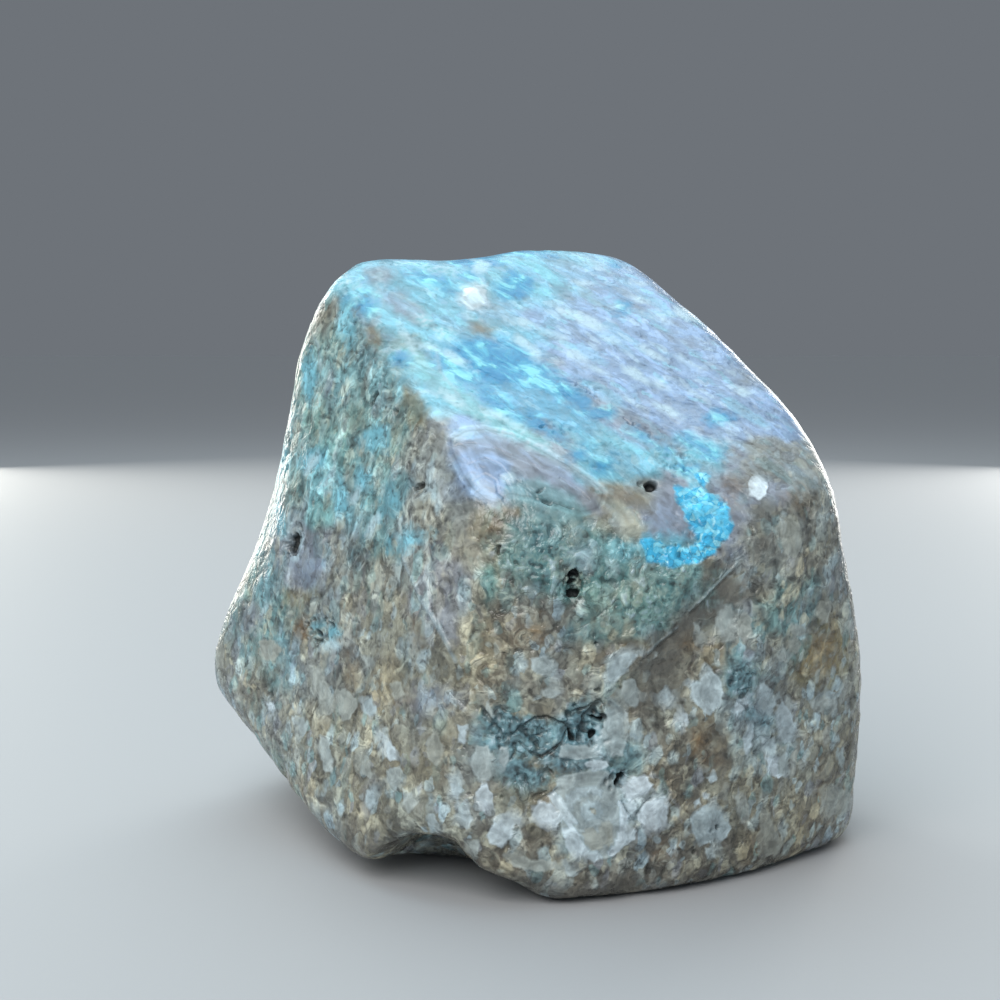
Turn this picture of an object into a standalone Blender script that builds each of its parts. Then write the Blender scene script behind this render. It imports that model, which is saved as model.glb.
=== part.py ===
"""A tumbled and polished stone of brecciated shattuckite: one solid, in metres, +Z up.

The stone is ground from a blocky chip. Its broad faces are flat or gently crowned, its edges are
rounded by tumbling, hollows are worn into a few of its faces, and small open pits are left in it.
It rests on a real flat on its underside. The origin is on that flat, under the middle of the stone.
"""

import math

import bmesh
import bpy
import numpy as np
from mathutils import Vector

STONE_NAME = "stone"

# Driving dimensions, in metres. Directions are in degrees: turn goes round the stone, 0 at the
# front (-Y) and 90 at the right (+X), and tilt goes up from level.
HEART = np.array((0.0008, -0.0020, 0.0280))  # the point inside that everything is measured from
MIDDLE = np.array((0.0010, -0.0010, 0.0230))  # the point inside that the surface is spread round
EDGE_SOFTNESS = 0.0009  # how far tumbling has rounded the edge between two faces
BASE_SOFTNESS = 0.0020  # the turn from the flat underside into the sides
FOOT = (-72, -82, 0.0289)  # turn, tilt and distance of the low rise under the left foot
FOOT_SOFTNESS = 0.0006  # the turn from the flat underside into that rise
PIT_SOFTNESS = 0.00015  # the worn lip of a pit
REACH = 0.046  # no part of the stone lies further than this from its heart
FLAT_WITHIN = 1e-8  # a point of the underside this near to level is set level

# Broad faces: (what it is, turn, tilt, distance from the heart, radius of its crown).
FACES = (
    ("roof", 12, 50, 0.0184, 0.50),
    ("brow", 9, 24, 0.0213, 0.50),
    ("left front", -48, 9, 0.0190, 0.60),
    ("middle left", -18, 3, 0.0225, 0.50),
    ("middle front", 8, -1, 0.0227, 0.50),
    ("right middle", 24, -4, 0.0248, 0.50),
    ("right front", 41, -6.5, 0.0264, 2.00),
    ("right", 92, 5.5, 0.0285, 0.50),
    ("right brow", 95, 19, 0.0265, 0.50),
    ("right shoulder", 105, 31, 0.0249, 0.80),
    ("back right", 145, 8, 0.0260, 0.15),
    ("back", -178, 12, 0.0240, 0.15),
    ("back left", -120, 17, 0.0267, 0.80),
    ("crest", -162, 50, 0.0271, 0.60),
    ("top left corner", -100, 42, 0.0320, 0.10),
    ("back crest", 155, 45, 0.0290, 0.15),
    ("lower left", -82, -42, 0.0338, 0.40),
    ("under left", -80, -60, 0.0322, 0.50),
    ("lower back", 165, -45, 0.0330, 0.12),
)

# Hollows worn into the faces, each a bite from an ellipsoid: (what it is, the ellipsoid's centre from
# the heart, its half width, half height and half depth, the turn and tilt it faces, its roll, and how
# soft its rim is).
HOLLOWS = (
    ("groove", (0.0157, -0.0241, -0.0052), (0.0175, 0.0072, 0.0060), 26, -10, 45, 0.0005),
    ("notch", (-0.0095, -0.0190, -0.0295), (0.0055, 0.0070, 0.0090), 0, 0, 0, 0.0015),
    ("notch's end", (-0.0055, -0.0200, -0.0300), (0.0055, 0.0045, 0.0080), 0, 0, 0, 0.0015),
    ("waist", (-0.0334, 0.0010, 0.0070), (0.0150, 0.0160, 0.0080), -85, 12, 0, 0.0030),
    ("shoulder hollow", (0.0261, -0.0020, 0.0211), (0.0140, 0.0110, 0.0070), 98, 38, 0, 0.0020),
    ("saddle", (-0.0095, 0.0060, 0.0345), (0.0090, 0.0120, 0.0070), 0, 89, 20, 0.0030),
)

# Long low waves that tumbling leaves in the faces: (turn, tilt, wavelength, height).
WAVES = (
    (25, 10, 0.019, 0.00012),
    (-60, 35, 0.023, 0.00015),
    (95, -30, 0.017, 0.00010),
    (160, 55, 0.027, 0.00016),
)

# Open pits: (what it is, turn, tilt, half width, half height, depth, roll).
PITS = (
    ("upper twin", 7, 0, 0.0008, 0.0007, 0.0010, 0),
    ("lower twin", 6, -3, 0.0007, 0.0005, 0.0009, 20),
    ("chip in the brow", 28, 21, 0.0008, 0.0006, 0.0007, 0),
    ("slit in the left front", -80, 2, 0.0006, 0.0016, 0.0008, -12),
    ("pit in the left front", -68, -17, 0.0009, 0.0006, 0.0008, 0),
    ("slit under the crest", -55, 39, 0.0006, 0.0011, 0.0007, 15),
    ("pit by the ridge", -34, 21, 0.0006, 0.0009, 0.0006, 10),
    ("vug", 10, -29, 0.0011, 0.0014, 0.0009, 15),
    ("loop beside the vug", -1, -31, 0.0016, 0.0012, 0.0005, 0),
    ("pit below the vug", 18, -38, 0.0008, 0.0006, 0.0008, 0),
    ("pit near the base", 43, -45, 0.0007, 0.0006, 0.0006, 0),
    ("chip in the left edge", -78, -40, 0.0011, 0.0009, 0.0006, 0),
    ("pit in the back", 168, 14, 0.0012, 0.0008, 0.0008, 25),
    ("slit in the back", -158, -12, 0.0006, 0.0015, 0.0008, 30),
    ("pit in the back left", -118, 24, 0.0009, 0.0007, 0.0007, 0),
    ("pit in the right", 98, -8, 0.0008, 0.0011, 0.0008, -20),
    ("chip in the shoulder", 112, 33, 0.0010, 0.0007, 0.0006, 0),
)

GRID = 22  # squares along each side of the cube that the surface starts from
PIT_FINE_REACH = 0.0023  # round each pit the surface is divided again, out to this
PIT_DIVISIONS = 2  # how many times it is divided there
SLOPE_STEP = 0.0003  # how far to each side the surface is felt for the way it faces
HALVINGS = 30  # how often the search for the surface along a ray halves its reach


def direction(turn, tilt):
    """The unit vector that points at a turn round the stone and a tilt above level."""
    turn, tilt = math.radians(turn), math.radians(tilt)
    return np.array(
        (math.sin(turn) * math.cos(tilt), -math.cos(turn) * math.cos(tilt), math.sin(tilt))
    )


def smooth_max(a, b, width):
    """The larger of two fields, blended over this width where they are nearly equal."""
    blend = np.clip(0.5 + 0.5 * (a - b) / width, 0, 1)
    return b + (a - b) * blend + width * blend * (1 - blend)


def ellipsoid(points, centre, radii, outward, roll):
    """Below zero inside an ellipsoid whose depth lies along this outward direction."""
    right = np.cross((0, 0, 1), outward)
    right /= np.linalg.norm(right)
    up = np.cross(outward, right)
    c, s = math.cos(math.radians(roll)), math.sin(math.radians(roll))
    axes = np.array((c * right + s * up, c * up - s * right, outward))
    local = (points - centre) @ axes.T / np.array(radii)
    return (np.linalg.norm(local, axis=1) - 1) * min(radii)


def worn_stone(points):
    """Below zero inside the stone before its pits, and above zero outside it."""
    from_heart = points - HEART
    distances = []
    for _, turn, tilt, distance, crown in FACES:
        centre = direction(turn, tilt) * (distance - crown)
        distances.append(np.linalg.norm(from_heart - centre, axis=1) - crown)
    distances = np.array(distances)
    top = distances.max(axis=0)
    body = top + EDGE_SOFTNESS * np.log(np.exp((distances - top) / EDGE_SOFTNESS).sum(axis=0))
    for turn, tilt, wavelength, height in WAVES:
        body = body + height * np.sin(from_heart @ direction(turn, tilt) * math.tau / wavelength)
    for _, centre, radii, turn, tilt, roll, softness in HOLLOWS:
        bite = ellipsoid(from_heart, np.array(centre), radii, direction(turn, tilt), roll)
        body = smooth_max(body, -bite, softness)
    body = smooth_max(body, -points[:, 2], BASE_SOFTNESS)
    turn, tilt, distance = FOOT
    return smooth_max(body, from_heart @ direction(turn, tilt) - distance, FOOT_SOFTNESS)


def mouth_of_pit(turn, tilt):
    """The middle of a pit's mouth, and the direction that the stone faces there."""
    mouth = surface_points(HEART, np.array([direction(turn, tilt)]), worn_stone)[0]
    step = SLOPE_STEP * np.eye(3)
    outward = worn_stone(mouth + step) - worn_stone(mouth - step)
    return mouth, outward / np.linalg.norm(outward)


def pitted_stone(points):
    """The worn stone with its open pits."""
    body = worn_stone(points)
    for _, turn, tilt, width, height, depth, roll in PITS:
        mouth, outward = mouth_of_pit(turn, tilt)
        bite = ellipsoid(points, mouth, (width, height, depth), outward, roll)
        body = smooth_max(body, -bite, PIT_SOFTNESS)
    return body


def surface_points(origin, directions, field):
    """Where rays from inside the stone, along these directions, reach the surface of a field."""
    near = np.zeros(len(directions))
    far = np.full(len(directions), REACH)
    for _ in range(HALVINGS):
        middle = (near + far) / 2
        inside = field(origin + directions * middle[:, None]) < 0
        near = np.where(inside, middle, near)
        far = np.where(inside, far, middle)
    return origin + directions * near[:, None]


def lay_on(shape, field):
    """Move each vertex along its ray from the middle to the surface of a field."""
    rays = np.array([vertex.co for vertex in shape.verts]) - MIDDLE
    rays /= np.linalg.norm(rays, axis=1)[:, None]
    for vertex, place in zip(shape.verts, surface_points(MIDDLE, rays, field)):
        vertex.co = Vector(place)


def near_a_mouth(edge, mouths):
    """Whether an edge starts or ends near the mouth of a pit."""
    return any((end.co - mouth).length < PIT_FINE_REACH for end in edge.verts for mouth in mouths)


def refine_round_pits(shape):
    """Divide the surface again round each pit, and put a vertex in the middle of its mouth."""
    mouths = [Vector(mouth_of_pit(turn, tilt)[0]) for _, turn, tilt, *_ in PITS]
    for _ in range(PIT_DIVISIONS):
        around = [edge for edge in shape.edges if near_a_mouth(edge, mouths)]
        bmesh.ops.subdivide_edges(shape, edges=around, cuts=1, use_grid_fill=True)
        lay_on(shape, worn_stone)
    for mouth in mouths:
        nearest = min(shape.verts, key=lambda vertex: (vertex.co - mouth).length)
        nearest.co = mouth


def stone_mesh():
    """A cube spread evenly into a ball, laid on the worn stone and then sunk into its pits."""
    shape = bmesh.new()
    bmesh.ops.create_cube(shape, size=2)
    bmesh.ops.subdivide_edges(shape, edges=shape.edges, cuts=GRID - 1, use_grid_fill=True)
    for vertex in shape.verts:
        spread = Vector([math.tan(part * math.pi / 4) for part in vertex.co])
        vertex.co = Vector(MIDDLE) + spread.normalized() * REACH
    lay_on(shape, worn_stone)
    refine_round_pits(shape)
    lay_on(shape, pitted_stone)
    for vertex in shape.verts:
        if abs(vertex.co.z) < FLAT_WITHIN:
            vertex.co.z = 0.0
    bmesh.ops.triangulate(shape, faces=shape.faces)
    bmesh.ops.recalc_face_normals(shape, faces=shape.faces)
    mesh = bpy.data.meshes.new(STONE_NAME)
    shape.to_mesh(mesh)
    shape.free()
    return mesh


def polished_stone():
    """The stone's finish: polished grey-blue and tan chalcedony, with a slight gloss."""
    material = bpy.data.materials.new("polished shattuckite breccia")
    material.use_nodes = True
    shader = material.node_tree.nodes["Principled BSDF"]
    shader.inputs["Base Color"].default_value = (0.27, 0.30, 0.28, 1.0)
    shader.inputs["Roughness"].default_value = 0.28
    shader.inputs["Metallic"].default_value = 0.0
    return material


def main():
    """Clear the scene and make the stone, in a collection of its own."""
    for thing in list(bpy.data.objects):
        bpy.data.objects.remove(thing)
    collection = bpy.data.collections.new("Shattuckite stone")
    bpy.context.scene.collection.children.link(collection)
    stone = bpy.data.objects.new(STONE_NAME, stone_mesh())
    stone.data.shade_smooth()
    stone.data.materials.append(polished_stone())
    collection.objects.link(stone)


main()
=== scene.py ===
"""Dress a tumbled and polished stone of shattuckite breccia, and set it in a plain studio.

The stone is one mesh, laid on the solid frame's stone and worn finely: pits, seams, crumbly hollows
and the low relief that polishing leaves between hard and soft minerals. What lies where is kept in
attributes on its points, and the finish breaks those up into crisp grains.
"""

import math
import random
from collections import namedtuple

import bmesh
import bpy
import numpy as np
from bpy.props import FloatProperty, FloatVectorProperty, IntProperty, PointerProperty
from mathutils import Euler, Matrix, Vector, noise
from mathutils.bvhtree import BVHTree


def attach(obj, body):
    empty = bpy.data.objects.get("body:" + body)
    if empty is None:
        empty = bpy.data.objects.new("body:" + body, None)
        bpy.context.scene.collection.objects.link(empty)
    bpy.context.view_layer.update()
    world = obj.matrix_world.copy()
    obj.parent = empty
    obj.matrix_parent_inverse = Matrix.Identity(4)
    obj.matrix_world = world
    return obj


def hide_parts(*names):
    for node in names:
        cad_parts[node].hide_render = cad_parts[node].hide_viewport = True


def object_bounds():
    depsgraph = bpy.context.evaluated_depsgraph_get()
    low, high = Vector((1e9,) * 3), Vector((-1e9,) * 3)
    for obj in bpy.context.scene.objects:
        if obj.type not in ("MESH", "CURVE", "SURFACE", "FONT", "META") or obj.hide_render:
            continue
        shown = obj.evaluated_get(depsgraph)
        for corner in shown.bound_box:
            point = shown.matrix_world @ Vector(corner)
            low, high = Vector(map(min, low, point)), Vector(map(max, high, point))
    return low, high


bl_info = {
    "name": "Tumbled shattuckite stone",
    "version": (1, 0, 0),
    "blender": (4, 5, 0),
    "location": "View3D > Sidebar > Stone",
    "description": "Adds a polished shattuckite breccia stone and the studio that it stands in",
    "category": "Add Mesh",
}

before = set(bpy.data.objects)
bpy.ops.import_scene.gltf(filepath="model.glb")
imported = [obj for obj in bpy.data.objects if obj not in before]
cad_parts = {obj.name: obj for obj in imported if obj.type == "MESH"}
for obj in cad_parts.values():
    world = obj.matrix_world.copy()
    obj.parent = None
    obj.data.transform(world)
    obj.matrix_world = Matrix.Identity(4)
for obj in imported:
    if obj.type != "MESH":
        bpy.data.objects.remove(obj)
CAD_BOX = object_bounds()

STONE = "stone"
DRESSED = "polished_stone"
BODY = "root"
MM = 0.001

# The camera, in metres and degrees. It looks along +Y, a little down.
VIEW_PLACE = Vector((-0.0028, -0.1600, 0.0489))
VIEW_PITCH = 6.0
LENS_MM = 60.0
SENSOR_MM = 36.0
VIEW_SIDE = 1000  # the front view is taken as a square of this many pixels
PIXEL_MM = 0.1  # about what one pixel of the front view spans on the stone
FOCAL = LENS_MM / SENSOR_MM * VIEW_SIDE  # the same lens, in those pixels

# The point inside the stone that its surface is spread round.
MIDDLE = Vector((0.0010, -0.0010, 0.0230))

# Places given as x and y are pixels of the front view, and half widths are pixels too. Outlines and
# seams are drawn as x,y pairs, milk is how white a clast is, and a crack whose depth is below zero is
# a vein that stands proud.
Mark = namedtuple("Mark", "x y half_width half_height roll")
Outline = namedtuple("Outline", "milk points")
Panel = namedtuple("Panel", "colour calm points")
Pit = namedtuple("Pit", "x y half_width half_height depth_mm roll")
Rough = namedtuple("Rough", "x y half_width half_height roll lump_mm depth_mm")
Crack = namedtuple("Crack", "points half_width depth_mm")
Zone = namedtuple("Zone", "x y reach colour breccia streaks")
FarZone = namedtuple("FarZone", "turn tilt reach_mm colour breccia streaks")

# The ground colour and grain of each part of the stone: breccia is how full of clasts it is, and
# streaks how strongly its chalcedony is banded.
ZONES = (
    Zone(360, 275, 34, "sky", 0.1, 0.7),
    Zone(440, 290, 48, "sky", 0.1, 0.9),
    Zone(520, 280, 50, "sky", 0.1, 0.9),
    Zone(600, 290, 60, "lavender", 0.1, 1.0),
    Zone(660, 340, 50, "lavender", 0.1, 1.0),
    Zone(560, 345, 40, "lavender", 0.1, 1.0),
    Zone(490, 360, 42, "azure_haze", 0.1, 0.7),
    Zone(450, 340, 26, "sky", 0.1, 0.9),
    Zone(430, 395, 30, "sky", 0.15, 0.9),
    Zone(570, 400, 34, "azure_haze", 0.2, 0.7),
    Zone(640, 400, 44, "lavender", 0.25, 0.9),
    Zone(700, 390, 40, "lavender", 0.2, 1.0),
    Zone(760, 410, 32, "lavender", 0.3, 0.8),
    Zone(740, 465, 26, "lavender_grey", 0.5, 0.4),
    Zone(800, 460, 26, "grey", 0.5, 0.4),
    Zone(610, 460, 36, "sky", 0.3, 0.6),
    Zone(690, 450, 30, "sky", 0.4, 0.6),
    Zone(328, 320, 26, "grey", 0.2, 0.9),
    Zone(355, 320, 24, "grey_green", 0.3, 0.8),
    Zone(335, 390, 40, "grey_green", 0.3, 1.0),
    Zone(395, 375, 30, "grey_green", 0.4, 0.6),
    Zone(380, 440, 40, "grey_green", 0.4, 0.7),
    Zone(320, 470, 44, "aqua", 0.3, 0.9),
    Zone(420, 450, 30, "grey", 0.4, 0.6),
    Zone(370, 510, 40, "grey_green", 0.4, 0.8),
    Zone(420, 520, 34, "grey", 0.4, 0.8),
    Zone(300, 560, 34, "lavender_grey", 0.4, 0.8),
    Zone(350, 590, 44, "grey", 0.5, 0.8),
    Zone(270, 640, 40, "grey_green", 0.7, 0.5),
    Zone(330, 670, 44, "grey", 0.8, 0.5),
    Zone(390, 640, 40, "tan", 0.6, 0.6),
    Zone(430, 600, 34, "lavender_grey", 0.3, 0.8),
    Zone(250, 710, 36, "grey", 0.8, 0.4),
    Zone(420, 710, 44, "tan", 0.6, 0.5),
    Zone(330, 760, 50, "tan", 0.9, 0.4),
    Zone(400, 780, 50, "tan", 0.9, 0.4),
    Zone(470, 640, 34, "tan", 0.6, 0.5),
    Zone(480, 460, 30, "lavender", 0.0, 0.6),
    Zone(540, 465, 34, "lavender_grey", 0.1, 0.8),
    Zone(470, 540, 30, "brown", 0.4, 0.4),
    Zone(540, 510, 34, "grey_green", 0.3, 0.8),
    Zone(620, 505, 30, "tan", 0.4, 0.4),
    Zone(665, 510, 24, "lavender_grey", 0.1, 0.5),
    Zone(530, 560, 40, "teal", 0.6, 0.2),
    Zone(600, 560, 40, "teal", 0.6, 0.2),
    Zone(660, 590, 36, "teal", 0.7, 0.2),
    Zone(540, 620, 34, "matrix", 0.6, 0.2),
    Zone(600, 630, 34, "grey_green", 0.6, 0.2),
    Zone(520, 680, 40, "brown", 0.8, 0.2),
    Zone(575, 670, 36, "brown", 0.7, 0.2),
    Zone(725, 540, 22, "lavender_grey", 0.1, 0.3),
    # This matrix zone and the next lie in the dark band under the diagonal ridge, which is partly painted
    # shade.
    Zone(705, 590, 26, "matrix", 0.1, 0.2),
    Zone(665, 650, 26, "matrix", 0.2, 0.2),
    Zone(765, 570, 34, "grey", 0.7, 0.2),
    Zone(800, 540, 36, "grey", 0.8, 0.2),
    Zone(790, 620, 40, "grey_green", 0.9, 0.1),
    Zone(825, 650, 40, "olive", 0.9, 0.1),
    Zone(760, 650, 30, "grey", 0.9, 0.1),
    Zone(700, 690, 34, "tan", 0.8, 0.1),
    Zone(760, 720, 30, "grey", 0.6, 0.1),
    Zone(830, 730, 36, "tan", 0.9, 0.1),
    Zone(800, 800, 44, "tan", 0.8, 0.1),
    Zone(840, 800, 30, "tan", 0.8, 0.1),
    Zone(740, 810, 36, "tan", 0.9, 0.1),
    Zone(690, 760, 34, "brown", 0.8, 0.1),
    Zone(655, 720, 30, "brown", 0.7, 0.1),
    # The matrix zones on the bottom edge, here and at 500,855 and 570,880, are partly the dark matrix and
    # partly painted shade where the stone meets the floor.
    Zone(650, 860, 40, "matrix", 0.9, 0.1),
    Zone(740, 865, 40, "matrix", 0.8, 0.1),
    Zone(520, 730, 34, "vug_grey", 0.4, 0.2),
    Zone(590, 740, 36, "vug_grey", 0.4, 0.2),
    Zone(540, 790, 30, "tan", 0.6, 0.2),
    Zone(590, 810, 40, "clast", 0.2, 0.1),
    Zone(480, 780, 34, "grey", 0.8, 0.2),
    # Partly painted shade along the bottom edge.
    Zone(500, 855, 30, "matrix", 0.8, 0.2),
    Zone(570, 880, 30, "matrix", 0.8, 0.3),
)
FAR_ZONES = (
    FarZone(180, 80, 10, "sky", 0.1, 0.9),
    FarZone(120, 62, 12, "lavender", 0.2, 0.9),
    FarZone(-140, 62, 11, "azure_haze", 0.2, 0.9),
    FarZone(175, 52, 12, "lavender", 0.2, 0.9),
    FarZone(110, 34, 11, "grey", 0.6, 0.4),
    FarZone(98, 12, 12, "grey", 0.8, 0.2),
    FarZone(100, -14, 12, "brown", 0.9, 0.1),
    FarZone(85, -38, 12, "brown", 0.9, 0.1),
    FarZone(140, 22, 12, "tan", 0.8, 0.2),
    FarZone(140, -12, 13, "grey", 0.9, 0.2),
    FarZone(135, -45, 13, "brown", 0.8, 0.2),
    FarZone(180, 24, 12, "grey_green", 0.5, 0.7),
    FarZone(180, -4, 13, "teal", 0.6, 0.4),
    FarZone(175, -36, 13, "tan", 0.8, 0.2),
    FarZone(-145, 28, 12, "azure_haze", 0.3, 0.8),
    FarZone(-145, -2, 13, "grey", 0.7, 0.4),
    FarZone(-140, -34, 13, "tan", 0.8, 0.3),
    FarZone(-108, 34, 12, "grey_green", 0.3, 0.9),
    FarZone(-108, 8, 12, "grey_green", 0.5, 0.7),
    FarZone(-105, -22, 12, "grey", 0.8, 0.4),
    FarZone(-90, -55, 12, "grey", 0.8, 0.3),
    FarZone(0, -88, 16, "brown", 0.8, 0.1),
    FarZone(90, -75, 14, "grey", 0.8, 0.1),
)

# Turquoise and azure mineral: crusts and stains on the roof, and flecks down the left face.
BLUE = (
    Mark(497, 362, 48, 20, -12), Mark(540, 376, 20, 12, -30), Mark(515, 284, 22, 12, 20),
    Mark(460, 258, 14, 7, 0), Mark(570, 396, 22, 9, -28), Mark(604, 414, 14, 7, -20),
    Mark(604, 466, 16, 9, 20), Mark(580, 452, 12, 6, 30), Mark(455, 368, 34, 9, -38),
    Mark(492, 398, 34, 9, -28), Mark(540, 425, 30, 7, -30), Mark(400, 358, 10, 6, 10),
    Mark(346, 322, 9, 26, -5), Mark(310, 378, 9, 24, 5), Mark(375, 437, 12, 12, 0),
    Mark(312, 458, 13, 9, 20), Mark(340, 498, 7, 16, 0), Mark(388, 500, 8, 20, -12),
    Mark(408, 540, 16, 9, 20), Mark(279, 512, 6, 18, 8), Mark(664, 545, 34, 12, 4),
    Mark(702, 446, 22, 8, -25), Mark(640, 434, 24, 5, -30), Mark(688, 470, 14, 8, 0),
    Mark(430, 280, 22, 9, -20), Mark(366, 300, 8, 12, 0), Mark(720, 418, 12, 8, 0),
    Mark(330, 632, 10, 9, 0), Mark(362, 478, 5, 12, 0),
)
VIVID = (Mark(700, 478, 8, 6, -30),)
CRUSTS = (  # vivid cyan crust
    Outline(1, "674,486 686,482 700,486 718,496 730,510 735,526 728,540 716,552 704,560 696,563 690,556 "
               "697,545 692,532 688,518 678,500"),
    Outline(1, "640,540 654,540 676,546 694,548 700,562 672,566 648,562"),
)
LENSES = (  # the banded lavender lens under the roof's edge
    Outline(1, "446,438 462,428 486,425 512,431 540,445 568,461 596,477 607,492 602,512 580,516 556,508 "
               "530,500 510,498 498,508 484,503 468,490 456,470 448,452"),
)
TEAL = (
    Mark(545, 560, 44, 24, 0), Mark(670, 590, 44, 20, 8), Mark(610, 575, 30, 12, 0),
    Mark(640, 615, 24, 10, 10), Mark(520, 775, 24, 14, -20), Mark(495, 722, 14, 14, 0),
    Mark(742, 680, 18, 16, 20), Mark(275, 760, 12, 16, 40),
)
CLASTS = (  # pale chalcedony clasts; milk is how white each one is
    Outline(0.48, "560,776 574,772 590,768 608,771 616,784 622,800 627,815 632,828 626,845 612,857 "
                  "598,862 585,860 572,855 563,840 560,825 556,806 550,790"),
    Outline(0.66, "562,806 567,796 577,789 590,785 603,790 601,797 590,793 580,798 573,806 570,816"),
    Outline(0.58, "580,806 588,800 600,802 604,812 598,821 586,822 580,815"),
    Outline(0.20, "590,808 595,808 597,814 592,814"),
    Outline(0.25, "583,831 592,827 600,838 604,849 592,850 584,843"),
    Outline(0.30, "601,824 611,821 613,838 609,848 601,842 598,832"),
    Outline(0.78, "552,788 560,797 570,810 577,822 569,829 561,817 552,803 546,796"),
    Outline(0.92, "540,801 551,802 560,813 561,822 556,828 541,826 531,818 533,808"),
    Outline(0.84, "562,830 570,825 578,832 583,842 588,852 590,859 575,857 564,848"),
    Outline(0.76, "585,850 596,851 604,858 595,863 586,861"),
    Outline(0.88, "606,855 613,845 618,832 620,815 618,800 624,803 629,818 630,835 623,849 613,857"),
    Outline(0.80, "624,829 637,828 637,841 625,846"),
    Outline(1.00, "622,786 634,776 646,775 655,784 648,793 640,800 628,803"),
    Outline(0.75, "621,801 640,803 636,812 632,821 626,812"),
    Outline(0.98, "637,816 642,806 652,798 664,795 669,803 668,820 662,829 645,831"),
    Outline(0.85, "580,762 592,758 608,759 610,766 600,770 586,770"),
    Outline(0.50, "556,758 562,746 585,744 600,750 598,758 578,762"),
    Outline(0.50, "604,712 614,704 628,712 628,735 624,758 612,757 600,745 602,726"),
    Outline(0.80, "498,815 512,813 521,820 514,827 511,840 502,850 490,845 486,835"),
    Outline(0.90, "480,785 488,782 494,792 493,808 484,811 477,803 475,792"),
    Outline(0.45, "475,745 488,745 494,758 492,778 478,782 470,765"),
    Outline(0.70, "457,725 468,724 468,738 464,747 457,742"),
    Outline(0.65, "449,780 458,778 462,790 458,802 452,795"),
    Outline(0.65, "456,805 466,803 472,818 468,828 458,822"),
    Outline(0.50, "500,747 508,746 510,760 504,770 498,762"),
    Outline(0.35, "502,853 530,856 556,860 560,868 540,873 515,868"),
    Outline(0.50, "561,858 572,862 578,873 574,881 564,872"),
    Outline(0.40, "466,840 478,838 482,848 476,857 468,852"),
    Outline(0.40, "484,700 490,698 494,715 490,722 484,712"),
    Outline(0.50, "530,658 545,655 558,664 556,674 540,676 530,669"),
    Outline(0.45, "541,690 552,686 560,692 556,700 544,699"),
    Outline(0.60, "612,655 628,648 640,652 628,668 616,682 607,688 604,676"),
    Outline(0.45, "622,680 634,676 640,692 638,708 626,706 620,694"),
    Outline(0.40, "715,618 722,606 732,604 735,620 735,640 722,641 716,632"),
    Outline(0.35, "737,618 745,610 753,618 753,632 744,640 737,634"),
    Outline(0.40, "694,622 700,625 705,640 702,650 696,642"),
    Outline(0.65, "688,683 700,680 704,665 712,668 722,681 724,695 718,708 710,717 702,711 692,703"),
    Outline(0.85, "673,717 682,712 691,714 688,724 682,727"),
    Outline(0.65, "660,692 668,688 673,698 668,704 660,700"),
    Outline(0.60, "755,690 762,680 772,688 778,705 770,716 760,710"),
    Outline(0.55, "808,702 818,697 830,690 840,702 836,710 818,711"),
    Outline(0.60, "702,805 715,802 724,815 733,828 728,840 715,842 700,846 692,835 689,818"),
    Outline(0.50, "704,848 716,846 716,858 706,860"),
    Outline(0.70, "704,777 716,774 722,779 712,783"),
    Outline(0.35, "732,795 738,793 745,805 752,815 748,824 738,812"),
    Outline(0.70, "692,803 700,797 702,804 695,809"),
    Outline(0.85, "702,794 708,793 709,798 703,800"),
    Outline(0.25, "760,815 770,812 776,830 785,845 780,857 762,858 758,840"),
    Outline(0.35, "822,795 832,785 848,790 857,803 848,812 832,812 828,802"),
    Outline(0.40, "775,655 783,648 793,655 788,662 776,662"),
    Outline(0.35, "790,622 802,625 812,632 800,638 790,634"),
    Outline(0.30, "820,600 832,602 830,624 820,626 815,612"),
    Outline(0.35, "845,622 852,620 853,632 846,632"),
    Outline(0.95, "750,482 758,477 768,482 768,497 758,500 750,494"),
    Outline(0.35, "333,690 345,688 355,695 358,708 350,721 342,722 337,710"),
    Outline(0.35, "310,672 320,665 330,690 337,705 330,718 322,712 314,692"),
    Outline(0.45, "320,735 330,738 333,760 332,775 322,772 319,750"),
    Outline(0.80, "380,732 390,740 397,749 397,761 390,762 384,748"),
    Outline(0.60, "360,700 372,697 378,706 374,719 364,712"),
    Outline(0.40, "360,655 372,655 376,664 366,668"),
    Outline(0.30, "388,682 402,680 404,694 396,700 390,695"),
    Outline(0.30, "258,640 275,638 285,650 275,662 262,660"),
    Outline(0.90, "263,702 277,703 276,709 268,711"),
    Outline(0.50, "291,715 306,718 310,735 298,738"),
    Outline(0.35, "355,755 365,752 376,775 370,782 360,772"),
    Outline(0.30, "425,735 438,732 445,748 436,768 426,760"),
    Outline(0.60, "366,790 374,788 377,802 370,812 364,800"),
    Outline(0.45, "385,768 400,766 406,778 396,790 386,782"),
    Outline(0.55, "428,812 436,812 438,828 431,834 426,822"),
    Outline(0.40, "404,792 414,790 418,804 408,814 402,802"),
    Outline(0.85, "731,705 738,698 747,697 750,705 742,712 734,712"),
    Outline(0.75, "744,728 751,722 756,735 752,750 746,762 741,750"),
    Outline(0.70, "775,705 784,700 793,715 798,730 795,742 785,745 779,735 776,720"),
    Outline(0.90, "765,757 776,757 787,762 786,775 778,780 768,770"),
    Outline(0.65, "760,735 775,738 778,752 768,756 762,748"),
    Outline(0.50, "780,760 787,752 789,772 782,780 777,770"),
    Outline(0.40, "655,652 664,648 660,656 652,660"),
    Outline(0.30, "778,520 790,514 800,524 803,545 796,560 784,552 778,538"),
    Outline(0.42, "812,700 824,696 838,700 836,710 820,713 811,708"),
    Outline(0.34, "822,795 836,790 846,800 842,814 828,818 820,808"),
    Outline(0.28, "786,640 796,634 804,644 798,656 788,652"),
    Outline(0.36, "736,800 746,796 750,808 744,818 736,812"),
    Outline(0.40, "736,560 742,558 741,578 736,582"),
    Outline(0.95, "463,288 476,283 487,290 485,303 473,310 462,301"),
)
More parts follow.
